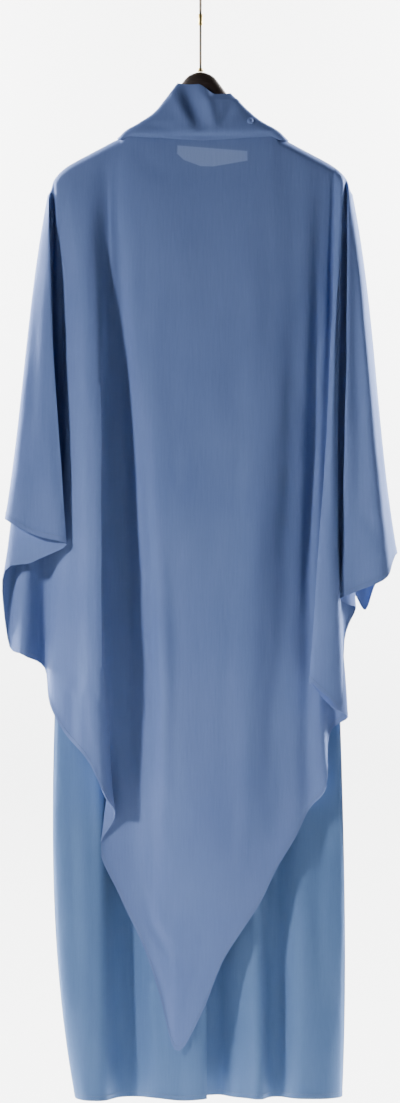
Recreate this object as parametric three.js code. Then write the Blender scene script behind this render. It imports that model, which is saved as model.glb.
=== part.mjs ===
// A two-layer robe on a wooden hanger: a long dress, and over it a cape with a stand-up hood collar,
// wing-like sides and a hem that slants down to one point. Millimetres, +Z up.
// The origin is the underside of the hook's crown, where a rail carries the hanger.
// The side with the nape label, the back of the robe, faces -Y. +X is the viewer's right.
import * as THREE from 'three';

// Driving sizes
const WALL = 1.6;
const SEAM = 0.4;
const SHOULDER_DROP = 0.9;
const ROWS_OVER_SHOULDER = 2;
const SEAM_REACH = 3;

const WIRE_DIAMETER = 4;
const BEND_RADIUS = 19;
const FERRULE_HEIGHT = 5;
const FERRULE_DIAMETER = 9;
const BAND_TOP = -42;
const BAND_LENGTH = 16;
const BAND_DIAMETER = 6.8;

const WOOD_DEPTH = 20;
const WOOD_THICKNESS = 17;
const CROWN_DEPTH = 42;
const CROWN_REACH = [12, 52];
const HANGER_STATIONS = 34;
const WOOD_SIDES = 10;

const LABEL = { left: -33, right: 67, top: -232, height: 23, tilt: -0.07, thickness: 0.8 };
const SNAP = { diameter: 9, height: 3, x: 71 };

// Colours
const CREPE = new THREE.MeshStandardMaterial({ color: 0x647ba3, roughness: 0.8, metalness: 0 });
const DRESS_CREPE = new THREE.MeshStandardMaterial({ color: 0x6683ab, roughness: 0.85, metalness: 0 });
const LABEL_TAPE = new THREE.MeshStandardMaterial({ color: 0xb4bccb, roughness: 0.7, metalness: 0 });
const DARK_WOOD = new THREE.MeshStandardMaterial({ color: 0x382e2a, roughness: 0.55, metalness: 0 });
const BLACKENED_STEEL = new THREE.MeshStandardMaterial({ color: 0x4a4843, roughness: 0.35, metalness: 0.9 });
const BRASS = new THREE.MeshStandardMaterial({ color: 0xc4aa64, roughness: 0.35, metalness: 1 });

// Top edge of the hanger from its middle to its end: distance from the middle, height
const HANGER_TOP = [
  [0, -125], [10, -127], [19, -132], [27, -141.5], [38, -157], [48, -172.5], [58, -186], [70, -198.5],
  [84, -209], [98, -216.5], [112, -223], [125, -228.8], [140, -236.8], [163, -249], [177, -256.5],
  [191, -265], [201, -274], [208, -284], [211, -295],
];

// Fold lines run from the shoulder to the hem, one row each, from left to right.
// Columns: name, height of the hem, then x and y at the shoulder, one third, two thirds and the hem.
const fold = (name, hem, x, y) => ({ name, hem, x, y });

const CAPE_BACK_FOLDS = [
  fold('left arm line', -764, [-219, -242.5, -259.5, -280], [0, 0, 0, 0]),
  fold('left wing edge', -769, [-218.7, -239, -255, -275], [-8, -23, -31, -34]),
  fold('left wing face', -789, [-218, -226, -231, -238], [-14, -31, -38, -41]),
  fold('left wing fold', -803, [-217, -212, -203, -192], [-18, -35, -42, -44]),
  fold('left under-wing', -828, [-215.5, -224, -231, -240], [-15, -21, -25, -26]),
  fold('left under-wing turn', -854, [-214.5, -236, -258, -284], [-11, -9, -9, -9]),
  fold('left drape turn', -939, [-213.5, -234, -259, -277], [-8, 2, 6, 7]),
  fold('left drape face', -961, [-212, -226, -243, -254], [-8, -5, -7, -13]),
  fold('left drape hollow', -980, [-210, -213, -219, -224], [-9, 2, 5, 7]),
  fold('left side edge', -1031, [-206, -202, -200, -215], [-14, -16, -20, -21]),
  fold('left side flank', -1072, [-198, -190, -189, -193], [-15.5, -25, -33, -36]),
  fold('left ridge', -1112, [-185, -169, -164, -159], [-16, -41, -52, -54]),
  fold('left ridge shoulder', -1158, [-165, -146, -144, -137], [-16, -41, -54, -55]),
  fold('left hollow', -1193, [-136, -134, -136, -122], [-16, -13, -14, -24]),
  fold('left notch', -1237, [-129, -119, -112, -144], [-16, -12, -7, -19]),
  fold('left hollow face', -1302, [-121, -106, -90, -117], [-16.5, -15, -14, -21]),
  fold('left panel edge', -1383, [-110, -92, -70, -79], [-17, -26, -27, -31]),
  fold('left panel', -1447, [-76, -68, -51, -58], [-17.5, -33, -36, -38]),
  fold('point', -1523, [-38, -37, -32, -36.5], [-18, -35, -40, -42]),
  fold('centre', -1471, [0, 0, 2, 1.5], [-18, -35, -42, -44]),
  fold('right panel', -1400, [42, 47, 42, 30], [-18, -35, -42, -43]),
  fold('right panel edge', -1356, [80, 86, 74, 57], [-17.5, -34, -40, -42]),
  fold('right slope', -1314, [112, 112, 98, 85], [-17, -30, -33, -39]),
  fold('right soft hollow', -1265, [140, 130, 117, 109], [-17, -25, -25, -34]),
  fold('right slope foot', -1220, [160, 150, 140, 136], [-17, -20, -19, -32]),
  fold('right hollow', -1180, [182, 167, 155, 156], [-16, -14, -13, -25]),
  fold('right roll', -1147, [186, 176, 168, 180], [-15.5, -12, -14, -31]),
  fold('right roll back', -1075, [189, 184, 180, 185], [-15, -9, -10, -12]),
  fold('right pleat turn', -1050, [191.5, 192, 197, 210], [-15, -11, -14, -18]),
  fold('right pleat under', -1034, [194, 187, 183, 186], [-17, -20, -26, -30]),
  fold('right pleat edge', -998, [198.5, 186, 172, 156.6], [-20, -30, -38, -41]),
  fold('right pleat face', -1021, [201, 190.5, 183, 182], [-22, -40, -47, -51]),
  fold('right pleat crest', -1034, [203.5, 196, 193.5, 203], [-22, -38, -45, -48]),
  fold('right gap', -939, [206, 200.5, 199.5, 205], [-15, -22, -27, -31]),
  fold('right under-wing turn', -895, [208, 211, 214, 222], [-12, -17, -19, -21]),
  fold('right under-wing', -889, [209.7, 209.5, 211, 213], [-15, -25, -29, -31]),
  fold('right wing fold', -881, [211.5, 209.5, 204.5, 200], [-19.5, -33, -37, -38]),
  fold('right wing face', -869, [214, 219.5, 222, 224], [-19, -36, -41, -42]),
  fold('right wing ridge', -849, [216, 233, 247, 266], [-15, -36, -45, -47]),
  fold('right wing groove', -828, [217, 238.5, 253.5, 274], [-9.5, -24, -32, -33]),
  fold('right wing edge', -815, [217.7, 241, 257.5, 280], [-5, -13, -17, -17]),
  fold('right arm line', -815, [218, 243, 259.5, 282], [0, 0, 0, 0]),
];

const CAPE_FRONT_FOLDS = [
  fold('left arm line', -764, [-219, -242.5, -259.5, -280], [0, 0, 0, 0]),
  fold('left wing edge', -782, [-218, -236, -250, -266], [9, 20, 26, 28]),
  fold('left wing face', -825, [-214, -219, -222, -228], [15, 30, 38, 42]),
  fold('left wing hollow', -896, [-208, -205, -204, -206], [14, 17, 16, 18]),
  fold('left ridge', -1025, [-190, -182, -178, -176], [16, 37, 45, 50]),
  fold('left hollow', -1125, [-160, -147, -140, -134], [16, 21, 22, 26]),
  fold('left panel edge', -1239, [-125, -108, -98, -92], [17, 34, 42, 46]),
  fold('left panel', -1354, [-62, -56, -50, -44], [18, 33, 38, 42]),
  fold('point', -1440, [0, 2, 4, 6], [18, 37, 44, 48]),
  fold('right panel', -1354, [64, 60, 52, 46], [18, 33, 37, 41]),
  fold('right panel edge', -1246, [122, 106, 98, 94], [17, 35, 43, 47]),
  fold('right hollow', -1132, [158, 146, 142, 138], [16, 20, 21, 26]),
  fold('right ridge', -1025, [190, 184, 180, 176], [16, 38, 45, 49]),
  fold('right wing hollow', -920, [206, 203, 202, 201], [14, 17, 18, 20]),
  fold('right wing tuck', -871, [210, 213, 215, 217], [14.5, 25, 28, 29]),
  fold('right wing pouch', -897, [213.5, 223, 230, 238], [13.5, 28, 33, 35]),
  fold('right wing face', -862, [216, 233, 244, 251], [11, 22, 27, 28]),
  fold('right wing edge', -826, [217.5, 240, 256, 275], [6, 13, 16, 17]),
  fold('right arm line', -815, [218, 243, 259.5, 282], [0, 0, 0, 0]),
];

const DRESS_BACK_FOLDS = [
  fold('left side seam', -1594, [-212.5, -197, -211.5, -180], [0, 2, 0, 0]),
  fold('left side', -1595, [-208, -193, -206, -176], [-9, -4, -8, -20]),
  fold('left ridge', -1596, [-182, -174, -180, -163], [-11, -6, -16, -35]),
  fold('left ridge shoulder', -1596, [-152, -144, -148, -141], [-11, -5, -15, -37]),
  fold('left hollow', -1596, [-124, -113, -116, -112], [-11, 1, 5, 2]),
  fold('left panel', -1593, [-86, -78, -68, -66], [-11, -4, -20, -29]),
  fold('left panel middle', -1596, [-42, -38, -32, -28], [-11, -5, -25, -35]),
  fold('pleat face', -1595, [-6, -4, -8, -6], [-11, -6, -27, -38]),
  fold('pleat edge', -1594, [6, 6, 7, 9], [-11, -4, -20, -30]),
  fold('pleat back', -1594, [10, 8, 1, -3], [-11, 0, -2, 2]),
  fold('pleat floor', -1594, [24, 22, 20, 22], [-11, 1, 3, 8]),
  fold('right panel', -1594, [58, 56, 56, 58], [-11, -3, -13, -19]),
  fold('right panel edge', -1595, [88, 84, 84, 86], [-11, -5, -16, -30]),
  fold('right hollow', -1595, [112, 108, 108, 110], [-11, 1, 2, -4]),
  fold('right ridge', -1594, [142, 137, 140, 144], [-11, -2, -7, -33]),
  fold('right side flank', -1594, [180, 174, 178, 180], [-11, -1, -4, -32]),
  fold('right side', -1594, [208, 189, 198, 198], [-9, -1, -3, -17]),
  fold('right side seam', -1594, [212.5, 193, 203.5, 203], [0, 2, 0, 0]),
];

const DRESS_FRONT_FOLDS = [
  fold('left side seam', -1594, [-212.5, -197, -211.5, -180], [0, 2, 0, 0]),
  fold('left side', -1594, [-208, -192, -204, -175], [9, 12, 15, 20]),
  fold('left ridge', -1595, [-175, -168, -172, -158], [11, 14, 28, 34]),
  fold('left hollow', -1595, [-135, -128, -130, -124], [11, 12, 14, 14]),
  fold('left panel', -1596, [-90, -88, -86, -84], [11, 14, 26, 36]),
  fold('centre hollow', -1595, [-40, -40, -38, -36], [11, 12, 17, 20]),
  fold('centre', -1596, [10, 10, 10, 10], [11, 14, 28, 38]),
  fold('right panel', -1595, [60, 60, 58, 58], [11, 12, 16, 18]),
  fold('right ridge', -1596, [105, 104, 104, 106], [11, 14, 27, 36]),
  fold('right hollow', -1595, [145, 142, 146, 148], [11, 12, 15, 16]),
  fold('right side flank', -1594, [180, 174, 180, 182], [11, 13, 25, 31]),
  fold('right side', -1594, [208, 190, 199, 199], [9, 10, 13, 17]),
  fold('right side seam', -1594, [212.5, 193, 203.5, 203], [0, 2, 0, 0]),
];

// Interpolation
const clamp = (value, low, high) => Math.min(high, Math.max(low, value));
const mix = (a, b, share) => a + (b - a) * share;
const smooth = (a, b, value) => {
  const share = clamp((value - a) / (b - a), 0, 1);
  return share * share * (3 - 2 * share);
};

// Height of a smooth curve through the points of a table, at a distance from the middle
function heightOn(table, distance) {
  const last = table.length - 1;
  let i = 0;
  while (i < last - 1 && table[i + 1][0] < distance) i += 1;
  const [x0, z0] = table[Math.max(0, i - 1)];
  const [x1, z1] = table[i];
  const [x2, z2] = table[i + 1];
  const [x3, z3] = table[Math.min(last, i + 2)];
  const span = x2 - x1;
  const share = (distance - x1) / span;
  const slope1 = ((z2 - z0) / (x2 - x0 || 1)) * span;
  const slope2 = ((z3 - z1) / (x3 - x1 || 1)) * span;
  if (share > 1) return z2 + ((z2 - z1) / span) * (distance - x2);
  const a = 2 * z1 - 2 * z2 + slope1 + slope2;
  const b = -3 * z1 + 3 * z2 - 2 * slope1 - slope2;
  return ((a * share + b) * share + slope1) * share + z1;
}

// The hanger's top edge moved out by a distance, as a table of the same kind
function movedOut(table, distance) {
  return table.map(([x, z], i) => {
    const [xa, za] = table[Math.max(0, i - 1)];
    const [xb, zb] = table[Math.min(table.length - 1, i + 1)];
    const length = Math.hypot(xb - xa, zb - za);
    return [x - ((zb - za) / length) * distance, z + ((xb - xa) / length) * distance];
  });
}

// Where each layer of cloth lies over the arms: a neck edge in the middle, then the hanger moved out
const DRESS_LIFT = SEAM + WALL / 2;
const CAPE_LIFT = DRESS_LIFT + WALL + SEAM;
const overArms = (lift, from) => movedOut(HANGER_TOP.filter(([x]) => x >= from), lift);
const CAPE_TOP = [[0, -216], [40, -215.5], [75, -214], ...overArms(CAPE_LIFT, 98), [219, -303]];
const DRESS_TOP = [[0, -232], [25, -229], [42, -214], [51, -194], ...overArms(DRESS_LIFT, 58)];

const CAPE = { top: CAPE_TOP, neck: 100, ridge: 116, neckDepth: 16 };
const DRESS = { top: DRESS_TOP, neck: 58, ridge: 76, neckDepth: 11.8 };

// Cubic through four values at 0, 1/3, 2/3 and 1
function through(values, share) {
  const [a, b, c, d] = values;
  const t = share * 3;
  const first = (-(t - 1) * (t - 2) * (t - 3)) / 6;
  const second = (t * (t - 2) * (t - 3)) / 2;
  const third = (-t * (t - 1) * (t - 3)) / 2;
  const fourth = (t * (t - 1) * (t - 2)) / 6;
  return a * first + b * second + c * third + d * fourth;
}

// A point of one fold line. over runs 0 to 1 across the top of the shoulder, down 0 to 1 to the hem.
function onFold(row, layer, side, over, down) {
  const distance = Math.abs(row.x[0]);
  const top = heightOn(layer.top, distance);
  const neck = 1 - smooth(layer.neck, layer.ridge, distance);
  const edge = side * Math.max(SEAM / 2, layer.neckDepth * neck);
  const reach = side * Math.max(SEAM / 2, Math.abs(row.y[0])) - edge;
  const drop = Math.abs(reach) * SHOULDER_DROP;
  if (over < 1) {
    const angle = (over * Math.PI) / 2;
    return new THREE.Vector3(row.x[0], edge + reach * Math.sin(angle), top - drop * (1 - Math.cos(angle)));
  }
  const seamed = row.y.slice(1).every((y) => Math.abs(y) < SEAM_REACH);
  const y = seamed ? through(row.y, down) + (side * SEAM) / 2 : through(row.y, down);
  return new THREE.Vector3(through(row.x, down), y, mix(top - drop, row.hem, down));
}

// Centripetal curve through points, so that a tight turn stays round
function across(points, place) {
  const last = points.length - 1;
  const i = clamp(Math.floor(place), 0, last - 1);
  const [b, c] = [points[i], points[i + 1]];
  const a = points[i - 1] ?? b.clone().multiplyScalar(2).sub(c);
  const d = points[i + 2] ?? c.clone().multiplyScalar(2).sub(b);
  const knots = [0];
  for (const [p, q] of [[a, b], [b, c], [c, d]]) {
    knots.push(knots.at(-1) + Math.sqrt(Math.hypot(p.x - q.x, p.y - q.y)) + 1e-6);
  }
  const t = mix(knots[1], knots[2], place - i);
  const blend = (p, q, from, to) => p.clone().lerp(q, (t - from) / (to - from));
  const ab = blend(a, b, knots[0], knots[1]);
  const bc = blend(b, c, knots[1], knots[2]);
  const cd = blend(c, d, knots[2], knots[3]);
  return blend(blend(ab, bc, knots[0], knots[2]), blend(bc, cd, knots[1], knots[3]), knots[1], knots[2]);
}

// A row of the table at any place between two of its own
function between(folds, place) {
  const spots = [0, 1, 2, 3].map((k) => {
    return across(folds.map((row) => new THREE.Vector3(row.x[k], row.y[k], row.hem)), place);
  });
  return { hem: spots[3].z, x: spots.map((spot) => spot.x), y: spots.map((spot) => spot.y) };
}

// Grid of points of a panel, one row from left to right for each step from the shoulder to the hem
function panelGrid(folds, layer, side, columnsPerFold, rowsDown) {
  const lines = [];
  const columns = (folds.length - 1) * columnsPerFold;
  for (let i = 0; i <= columns; i += 1) lines.push(between(folds, i / columnsPerFold));
  const steps = [];
  for (let i = 0; i < ROWS_OVER_SHOULDER; i += 1) steps.push([i / ROWS_OVER_SHOULDER, 0]);
  for (let i = 0; i <= rowsDown; i += 1) steps.push([1, i / rowsDown]);
  return steps.map(([over, down]) => lines.map((line) => onFold(line, layer, side, over, down)));
}

// Normals of a grid, pointing to the outer side. On a seamed border they keep out of the Y direction.
function gridNormals(grid, outward, seamTop, seamSides, closed) {
  const rows = grid.length;
  const columns = grid[0].length;
  const column = (j) => (closed ? (j + columns) % columns : clamp(j, 0, columns - 1));
  const at = (i, j) => grid[clamp(i, 0, rows - 1)][column(j)];
  return grid.map((row, i) => row.map((point, j) => {
    const along = at(i, j + 1).clone().sub(at(i, j - 1));
    const down = at(i + 1, j).clone().sub(at(i - 1, j));
    const normal = along.cross(down).multiplyScalar(outward);
    const onSide = !closed && (j === 0 || j === columns - 1);
    const onTop = i === 0 && seamTop && seamTop(point);
    if (onTop || (seamSides && onSide)) normal.setY(0);
    return normal.normalize();
  }));
}

// Closed wall around a grid: an outer skin, an inner skin and the borders between them
function wall(grid, normals, thickness, closed = false) {
  const rows = grid.length;
  const columns = grid[0].length;
  const positions = [];
  for (const side of [0.5, -0.5]) {
    grid.forEach((row, i) => row.forEach((point, j) => {
      positions.push(...point.clone().addScaledVector(normals[i][j], side * thickness).toArray());
    }));
  }
  const inner = rows * columns;
  const index = (i, j, skin) => skin * inner + i * columns + (closed ? j % columns : j);
  const faces = [];
  const quad = (a, b, c, d) => faces.push(a, b, c, a, c, d);
  const lastColumn = closed ? columns : columns - 1;
  for (let i = 0; i < rows - 1; i += 1) {
    for (let j = 0; j < lastColumn; j += 1) {
      quad(index(i, j, 0), index(i, j + 1, 0), index(i + 1, j + 1, 0), index(i + 1, j, 0));
      quad(index(i, j, 1), index(i + 1, j, 1), index(i + 1, j + 1, 1), index(i, j + 1, 1));
    }
  }
  for (let j = 0; j < lastColumn; j += 1) {
    quad(index(0, j, 0), index(0, j, 1), index(0, j + 1, 1), index(0, j + 1, 0));
    quad(index(rows - 1, j, 0), index(rows - 1, j + 1, 0), index(rows - 1, j + 1, 1), index(rows - 1, j, 1));
  }
  for (let i = 0; !closed && i < rows - 1; i += 1) {
    quad(index(i, 0, 0), index(i + 1, 0, 0), index(i + 1, 0, 1), index(i, 0, 1));
    const here = [0, 1].map((skin) => index(i, lastColumn, skin));
    const below = [0, 1].map((skin) => index(i + 1, lastColumn, skin));
    quad(here[0], here[1], below[1], below[0]);
  }
  return facesOut(positions, faces);
}

// A geometry whose faces all point out, whichever way its grid ran
function facesOut(positions, faces) {
  let volume = 0;
  const corner = (k) => new THREE.Vector3().fromArray(positions, faces[k] * 3);
  for (let k = 0; k < faces.length; k += 3) volume += corner(k).dot(corner(k + 1).cross(corner(k + 2)));
  const outward = [];
  for (let k = 0; k < faces.length; k += 3) {
    const [a, b, c] = faces.slice(k, k + 3);
    outward.push(a, ...(volume > 0 ? [b, c] : [c, b]));
  }
  const geometry = new THREE.BufferGeometry();
  geometry.setAttribute('position', new THREE.Float32BufferAttribute(positions, 3));
  geometry.setIndex(outward);
  geometry.computeVertexNormals();
  return geometry;
}

function named(name, geometry, material) {
  const mesh = new THREE.Mesh(geometry, material);
  mesh.name = name;
  return mesh;
}

// A garment panel. side is -1 for the back and 1 for the front.
function panel(name, folds, layer, side, columnsPerFold, rowsDown, material) {
  const grid = panelGrid(folds, layer, side, columnsPerFold, rowsDown);
  const onRidge = (point) => Math.abs(point.x) > layer.neck;
  const normals = gridNormals(grid, side, onRidge, true, false);
  return named(name, wall(grid, normals, WALL), material);
}

// A point of the cape's back with a given x and height, and its outer normal
function onCapeBack(x, z) {
  const point = (place, down) => onFold(between(CAPE_BACK_FOLDS, place), CAPE, -1, 1, down);
  const step = 0.02;
  const rounds = 12;
  let place = CAPE_BACK_FOLDS.findIndex((row) => row.x[0] > x);
  let down = step;
  for (let i = 0; i < rounds; i += 1) {
    const here = point(place, down);
    const dx = (point(place + step, down).x - here.x) / step;
    const dz = (point(place, down + step).z - here.z) / step;
    place += (x - here.x) / dx;
    down += (z - here.z) / dz;
  }
  const here = point(place, down);
  const along = point(place + step, down).sub(here);
  const fall = point(place, down + step).sub(here);
  return { point: here, normal: along.cross(fall).negate().normalize() };
}

// Blank tape sewn inside the nape, just behind the cape's wall
function napeLabel() {
  const columns = 10;
  const rows = 3;
  const behind = WALL / 2 + SEAM + LABEL.thickness / 2;
  const grid = [];
  const normals = [];
  for (let i = 0; i <= rows; i += 1) {
    const spots = [];
    for (let j = 0; j <= columns; j += 1) {
      const x = mix(LABEL.left, LABEL.right, j / columns);
      const z = LABEL.top - (i / rows) * LABEL.height + (x - LABEL.left) * LABEL.tilt;
      spots.push(onCapeBack(x, z));
    }
    grid.push(spots.map((spot) => spot.point.addScaledVector(spot.normal, -behind)));
    normals.push(spots.map((spot) => spot.normal));
  }
  return named('nape_label', wall(grid, normals, LABEL.thickness), LABEL_TAPE);
}

// The hood collar is a flattened tube round the neck of the hanger. One row for each ring, from the top.
// Columns: name, height, x of its left and right ends, depth to each side, how far its ends stand higher,
// and how closely it hugs the shoulders, from 0 to 1.
const ring = (name, z, left, right, depth, lift, hug) => ({ name, z, left, right, depth, lift, hug });
const COLLAR_RINGS = [
  ring('top edge', -144, -33, 43, 15.2, 2, 0),
  ring('neck', -166, -51, 54, 20.5, 0, 0),
  ring('neck foot', -184, -66, 71, 22.5, 0, 0),
  ring('spread', -198, -86, 89, 24, 0, 0),
  ring('roll', -207.5, -108, 113, 27, 0, 0.4),
  ring('foot', -216, -119, 126, 21.8, 0, 1),
];
const HUG_GAP = 2.6;
const COLLAR_DIP = { from: -4, to: 22, depth: 14.5 };
const COLLAR_COLUMNS = 32;
const COLLAR_SQUARENESS = 0.2;

// Height of the cape's shoulder under the collar, where share runs 0 to 1 from the ridge to the front or back
function onShoulders(x, share) {
  const ridge = heightOn(CAPE.top, Math.max(CAPE.neck, Math.abs(x)));
  const drop = CAPE.neckDepth * SHOULDER_DROP;
  return ridge + HUG_GAP - drop * (1 - Math.sqrt(Math.max(0, 1 - share * share)));
}

function onCollar(place, turn) {
  const i = clamp(Math.floor(place), 0, COLLAR_RINGS.length - 2);
  const [upper, lower] = [COLLAR_RINGS[i], COLLAR_RINGS[i + 1]];
  const value = (key) => mix(upper[key], lower[key], place - i);
  const [cos, sin] = [Math.cos(turn), Math.sin(turn)];
  const half = (value('right') - value('left')) / 2;
  const x = (value('right') + value('left')) / 2 + half * cos;
  const y = -Math.sign(sin) * value('depth') * Math.abs(sin) ** COLLAR_SQUARENESS;
  const dip = COLLAR_DIP.depth * smooth(COLLAR_DIP.from, COLLAR_DIP.to, x) * Math.max(0, 1 - place);
  const straight = value('z') + value('lift') * cos ** 4 - dip;
  return new THREE.Vector3(x, y, mix(straight, onShoulders(x, y / value('depth')), value('hug')));
}

function hoodCollar() {
  const grid = [];
  for (let place = 0; place <= COLLAR_RINGS.length - 1; place += 0.5) {
    const row = [];
    for (let j = 0; j < COLLAR_COLUMNS; j += 1) {
      row.push(onCollar(place, (j / COLLAR_COLUMNS) * Math.PI * 2));
    }
    grid.push(row);
  }
  const normals = gridNormals(grid, 1, null, false, true);
  return named('hood_collar', wall(grid, normals, WALL, true), CREPE);
}

// Small covered snap on the collar
function collarSnap() {
  const place = COLLAR_RINGS.findIndex((row) => row.name === 'spread');
  const { left, right } = COLLAR_RINGS[place];
  const turn = Math.acos((SNAP.x - (left + right) / 2) / ((right - left) / 2));
  const here = onCollar(place, turn);
  const step = 0.05;
  const along = onCollar(place, turn + step).sub(onCollar(place, turn - step));
  const down = onCollar(place + step, turn).sub(onCollar(place - step, turn));
  const normal = along.cross(down).normalize();
  if (normal.y > 0) normal.negate();
  const r = SNAP.diameter / 2;
  const profile = [[0, 0], [r * 0.9, 0], [r, 0.7], [r * 0.85, 1.8], [r * 0.5, 2.7], [0, SNAP.height]];
  const dome = new THREE.LatheGeometry(profile.map(([x, y]) => new THREE.Vector2(x, y)), 14);
  const snap = named('collar_snap', dome, CREPE);
  snap.position.copy(here.addScaledVector(normal, WALL / 2 + SEAM * 1.5));
  snap.quaternion.setFromUnitVectors(new THREE.Vector3(0, 1, 0), normal);
  return snap;
}

// Wooden hanger: oval sections hung from its top edge, drawn in to a rounded tip at each end
function woodenHanger() {
  const edge = [...HANGER_TOP.slice(1).reverse().map(([x, z]) => [-x, z]), ...HANGER_TOP];
  const curve = new THREE.SplineCurve(edge.map(([x, z]) => new THREE.Vector2(x, z)));
  const positions = [];
  const faces = [];
  for (let i = 0; i <= HANGER_STATIONS; i += 1) {
    const share = i / HANGER_STATIONS;
    const top = curve.getPointAt(share);
    const tangent = curve.getTangentAt(share);
    const inward = new THREE.Vector2(tangent.y, -tangent.x);
    const toEnd = Math.min(i, HANGER_STATIONS - i);
    const size = [0.4, 0.76, 0.94][toEnd] ?? 1;
    const woodDepth = mix(WOOD_DEPTH, CROWN_DEPTH, 1 - smooth(...CROWN_REACH, Math.abs(top.x)));
    for (let k = 0; k < WOOD_SIDES; k += 1) {
      const angle = (k / WOOD_SIDES) * Math.PI * 2;
      const depth = (woodDepth / 2) * size * (1 - Math.cos(angle));
      const y = (WOOD_THICKNESS / 2) * size * Math.sin(angle);
      positions.push(top.x + inward.x * depth, y, top.y + inward.y * depth);
    }
  }
  const index = (i, k) => i * WOOD_SIDES + (k % WOOD_SIDES);
  for (let i = 0; i < HANGER_STATIONS; i += 1) {
    for (let k = 0; k < WOOD_SIDES; k += 1) {
      faces.push(index(i, k), index(i + 1, k), index(i + 1, k + 1));
      faces.push(index(i, k), index(i + 1, k + 1), index(i, k + 1));
    }
  }
  for (let k = 1; k < WOOD_SIDES - 1; k += 1) {
    faces.push(index(0, 0), index(0, k), index(0, k + 1));
    faces.push(index(HANGER_STATIONS, 0), index(HANGER_STATIONS, k + 1), index(HANGER_STATIONS, k));
  }
  return named('hanger', facesOut(positions, faces), DARK_WOOD);
}

// Hook: a ferrule on the hanger's crown, a bent wire that rises from it, and a brass band round the wire
function turned(name, profile, z, material) {
  const geometry = new THREE.LatheGeometry(profile.map(([x, y]) => new THREE.Vector2(x, y)), 16);
  geometry.rotateX(Math.PI / 2);
  const piece = named(name, geometry, material);
  piece.position.z = z;
  return piece;
}

const wireRadius = WIRE_DIAMETER / 2;
const ferruleFoot = HANGER_TOP[0][1] + SEAM;
const ferruleTop = ferruleFoot + FERRULE_HEIGHT;

function hookFerrule() {
  const r = FERRULE_DIAMETER / 2;
  const profile = [[0, 0], [r, 0], [r, 1.5], [r * 0.7, FERRULE_HEIGHT], [0, FERRULE_HEIGHT]];
  return turned('hook_ferrule', profile, ferruleFoot, BRASS);
}

function hookWire() {
  const shank = [[0, ferruleTop + SEAM], [0, -95], [0, -70], [0, -52], [0, -44], [-1, -38], [-9, -31]];
  const points = [...shank];
  const middle = wireRadius - BEND_RADIUS;
  const [bendStart, bendEnd, bendStep] = [190, -25, 21.5];
  for (let degrees = bendStart; degrees >= bendEnd; degrees -= bendStep) {
    const angle = (degrees * Math.PI) / 180;
    points.push([BEND_RADIUS * Math.cos(angle), middle + BEND_RADIUS * Math.sin(angle)]);
  }
  const path = new THREE.CatmullRomCurve3(points.map(([y, z]) => new THREE.Vector3(0, y, z)));
  const section = new THREE.Shape();
  section.absarc(0, 0, wireRadius, 0, Math.PI * 2);
  const geometry = new THREE.ExtrudeGeometry(section, { steps: 34, curveSegments: 4, extrudePath: path });
  return named('hook_wire', geometry, BLACKENED_STEEL);
}

function hookBand() {
  const [inner, outer] = [wireRadius + SEAM, BAND_DIAMETER / 2];
  const bevel = 0.5;
  const profile = [
    [inner, 0], [outer - bevel, 0], [outer, bevel], [outer, BAND_LENGTH - bevel],
    [outer - bevel, BAND_LENGTH], [inner, BAND_LENGTH], [inner, 0],
  ];
  return turned('hook_band', profile, BAND_TOP - BAND_LENGTH, BRASS);
}

const group = new THREE.Group();
group.add(panel('cape_back', CAPE_BACK_FOLDS, CAPE, -1, 2, 15, CREPE));
group.add(panel('cape_front', CAPE_FRONT_FOLDS, CAPE, 1, 2, 12, CREPE));
group.add(panel('dress_back', DRESS_BACK_FOLDS, DRESS, -1, 2, 10, DRESS_CREPE));
group.add(panel('dress_front', DRESS_FRONT_FOLDS, DRESS, 1, 2, 8, DRESS_CREPE));
group.add(hoodCollar(), napeLabel(), collarSnap());
group.add(woodenHanger(), hookFerrule(), hookWire(), hookBand());

export default group;
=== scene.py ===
# %% [markdown]
# A djellaba set on a wooden hanger: a long dress, and over it a cape whose hood has sunk into a soft collar.
# The cape widens into a wing at each side, and its hem slants down to one point at the back.
# This lesson dresses the plain CAD model with cloth, wood and metal. The CAD model is the fixed frame,
# so every piece is made in its metres and in its place, and nothing in the frame is moved.

import math

import bmesh
import bpy
import numpy as np
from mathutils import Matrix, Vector


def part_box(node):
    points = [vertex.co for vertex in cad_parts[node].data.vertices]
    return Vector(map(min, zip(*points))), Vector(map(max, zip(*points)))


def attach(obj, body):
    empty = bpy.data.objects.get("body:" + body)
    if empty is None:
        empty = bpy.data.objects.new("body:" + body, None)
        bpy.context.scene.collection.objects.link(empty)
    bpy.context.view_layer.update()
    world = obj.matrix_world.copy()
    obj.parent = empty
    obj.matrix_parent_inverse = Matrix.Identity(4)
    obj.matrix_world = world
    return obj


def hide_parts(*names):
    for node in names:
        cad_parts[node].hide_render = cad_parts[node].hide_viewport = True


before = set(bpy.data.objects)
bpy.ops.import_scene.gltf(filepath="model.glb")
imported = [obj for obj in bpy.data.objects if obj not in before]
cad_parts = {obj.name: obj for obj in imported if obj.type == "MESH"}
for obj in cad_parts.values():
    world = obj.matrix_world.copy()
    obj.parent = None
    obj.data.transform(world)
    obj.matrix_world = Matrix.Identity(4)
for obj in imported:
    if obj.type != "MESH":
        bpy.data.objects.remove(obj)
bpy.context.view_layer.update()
MM = 0.001

# %% [markdown]
# Colours are easiest to read off a colour picker, as sRGB hex values, but shaders work in linear light.
# One function turns the first into the second. One small function adds a node with its settings and its
# links, so that a material reads from top to bottom like a recipe. The Mix node has sockets of several
# kinds under one name, so a third function picks its colour sockets.


# %% Colour and node helpers
def linear(hex_value):
    channels = [int(hex_value[i:i + 2], 16) / 255 for i in (0, 2, 4)]
    lit = [c / 12.92 if c <= 0.04045 else ((c + 0.055) / 1.055) ** 2.4 for c in channels]
    return (*lit, 1.0)


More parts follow.
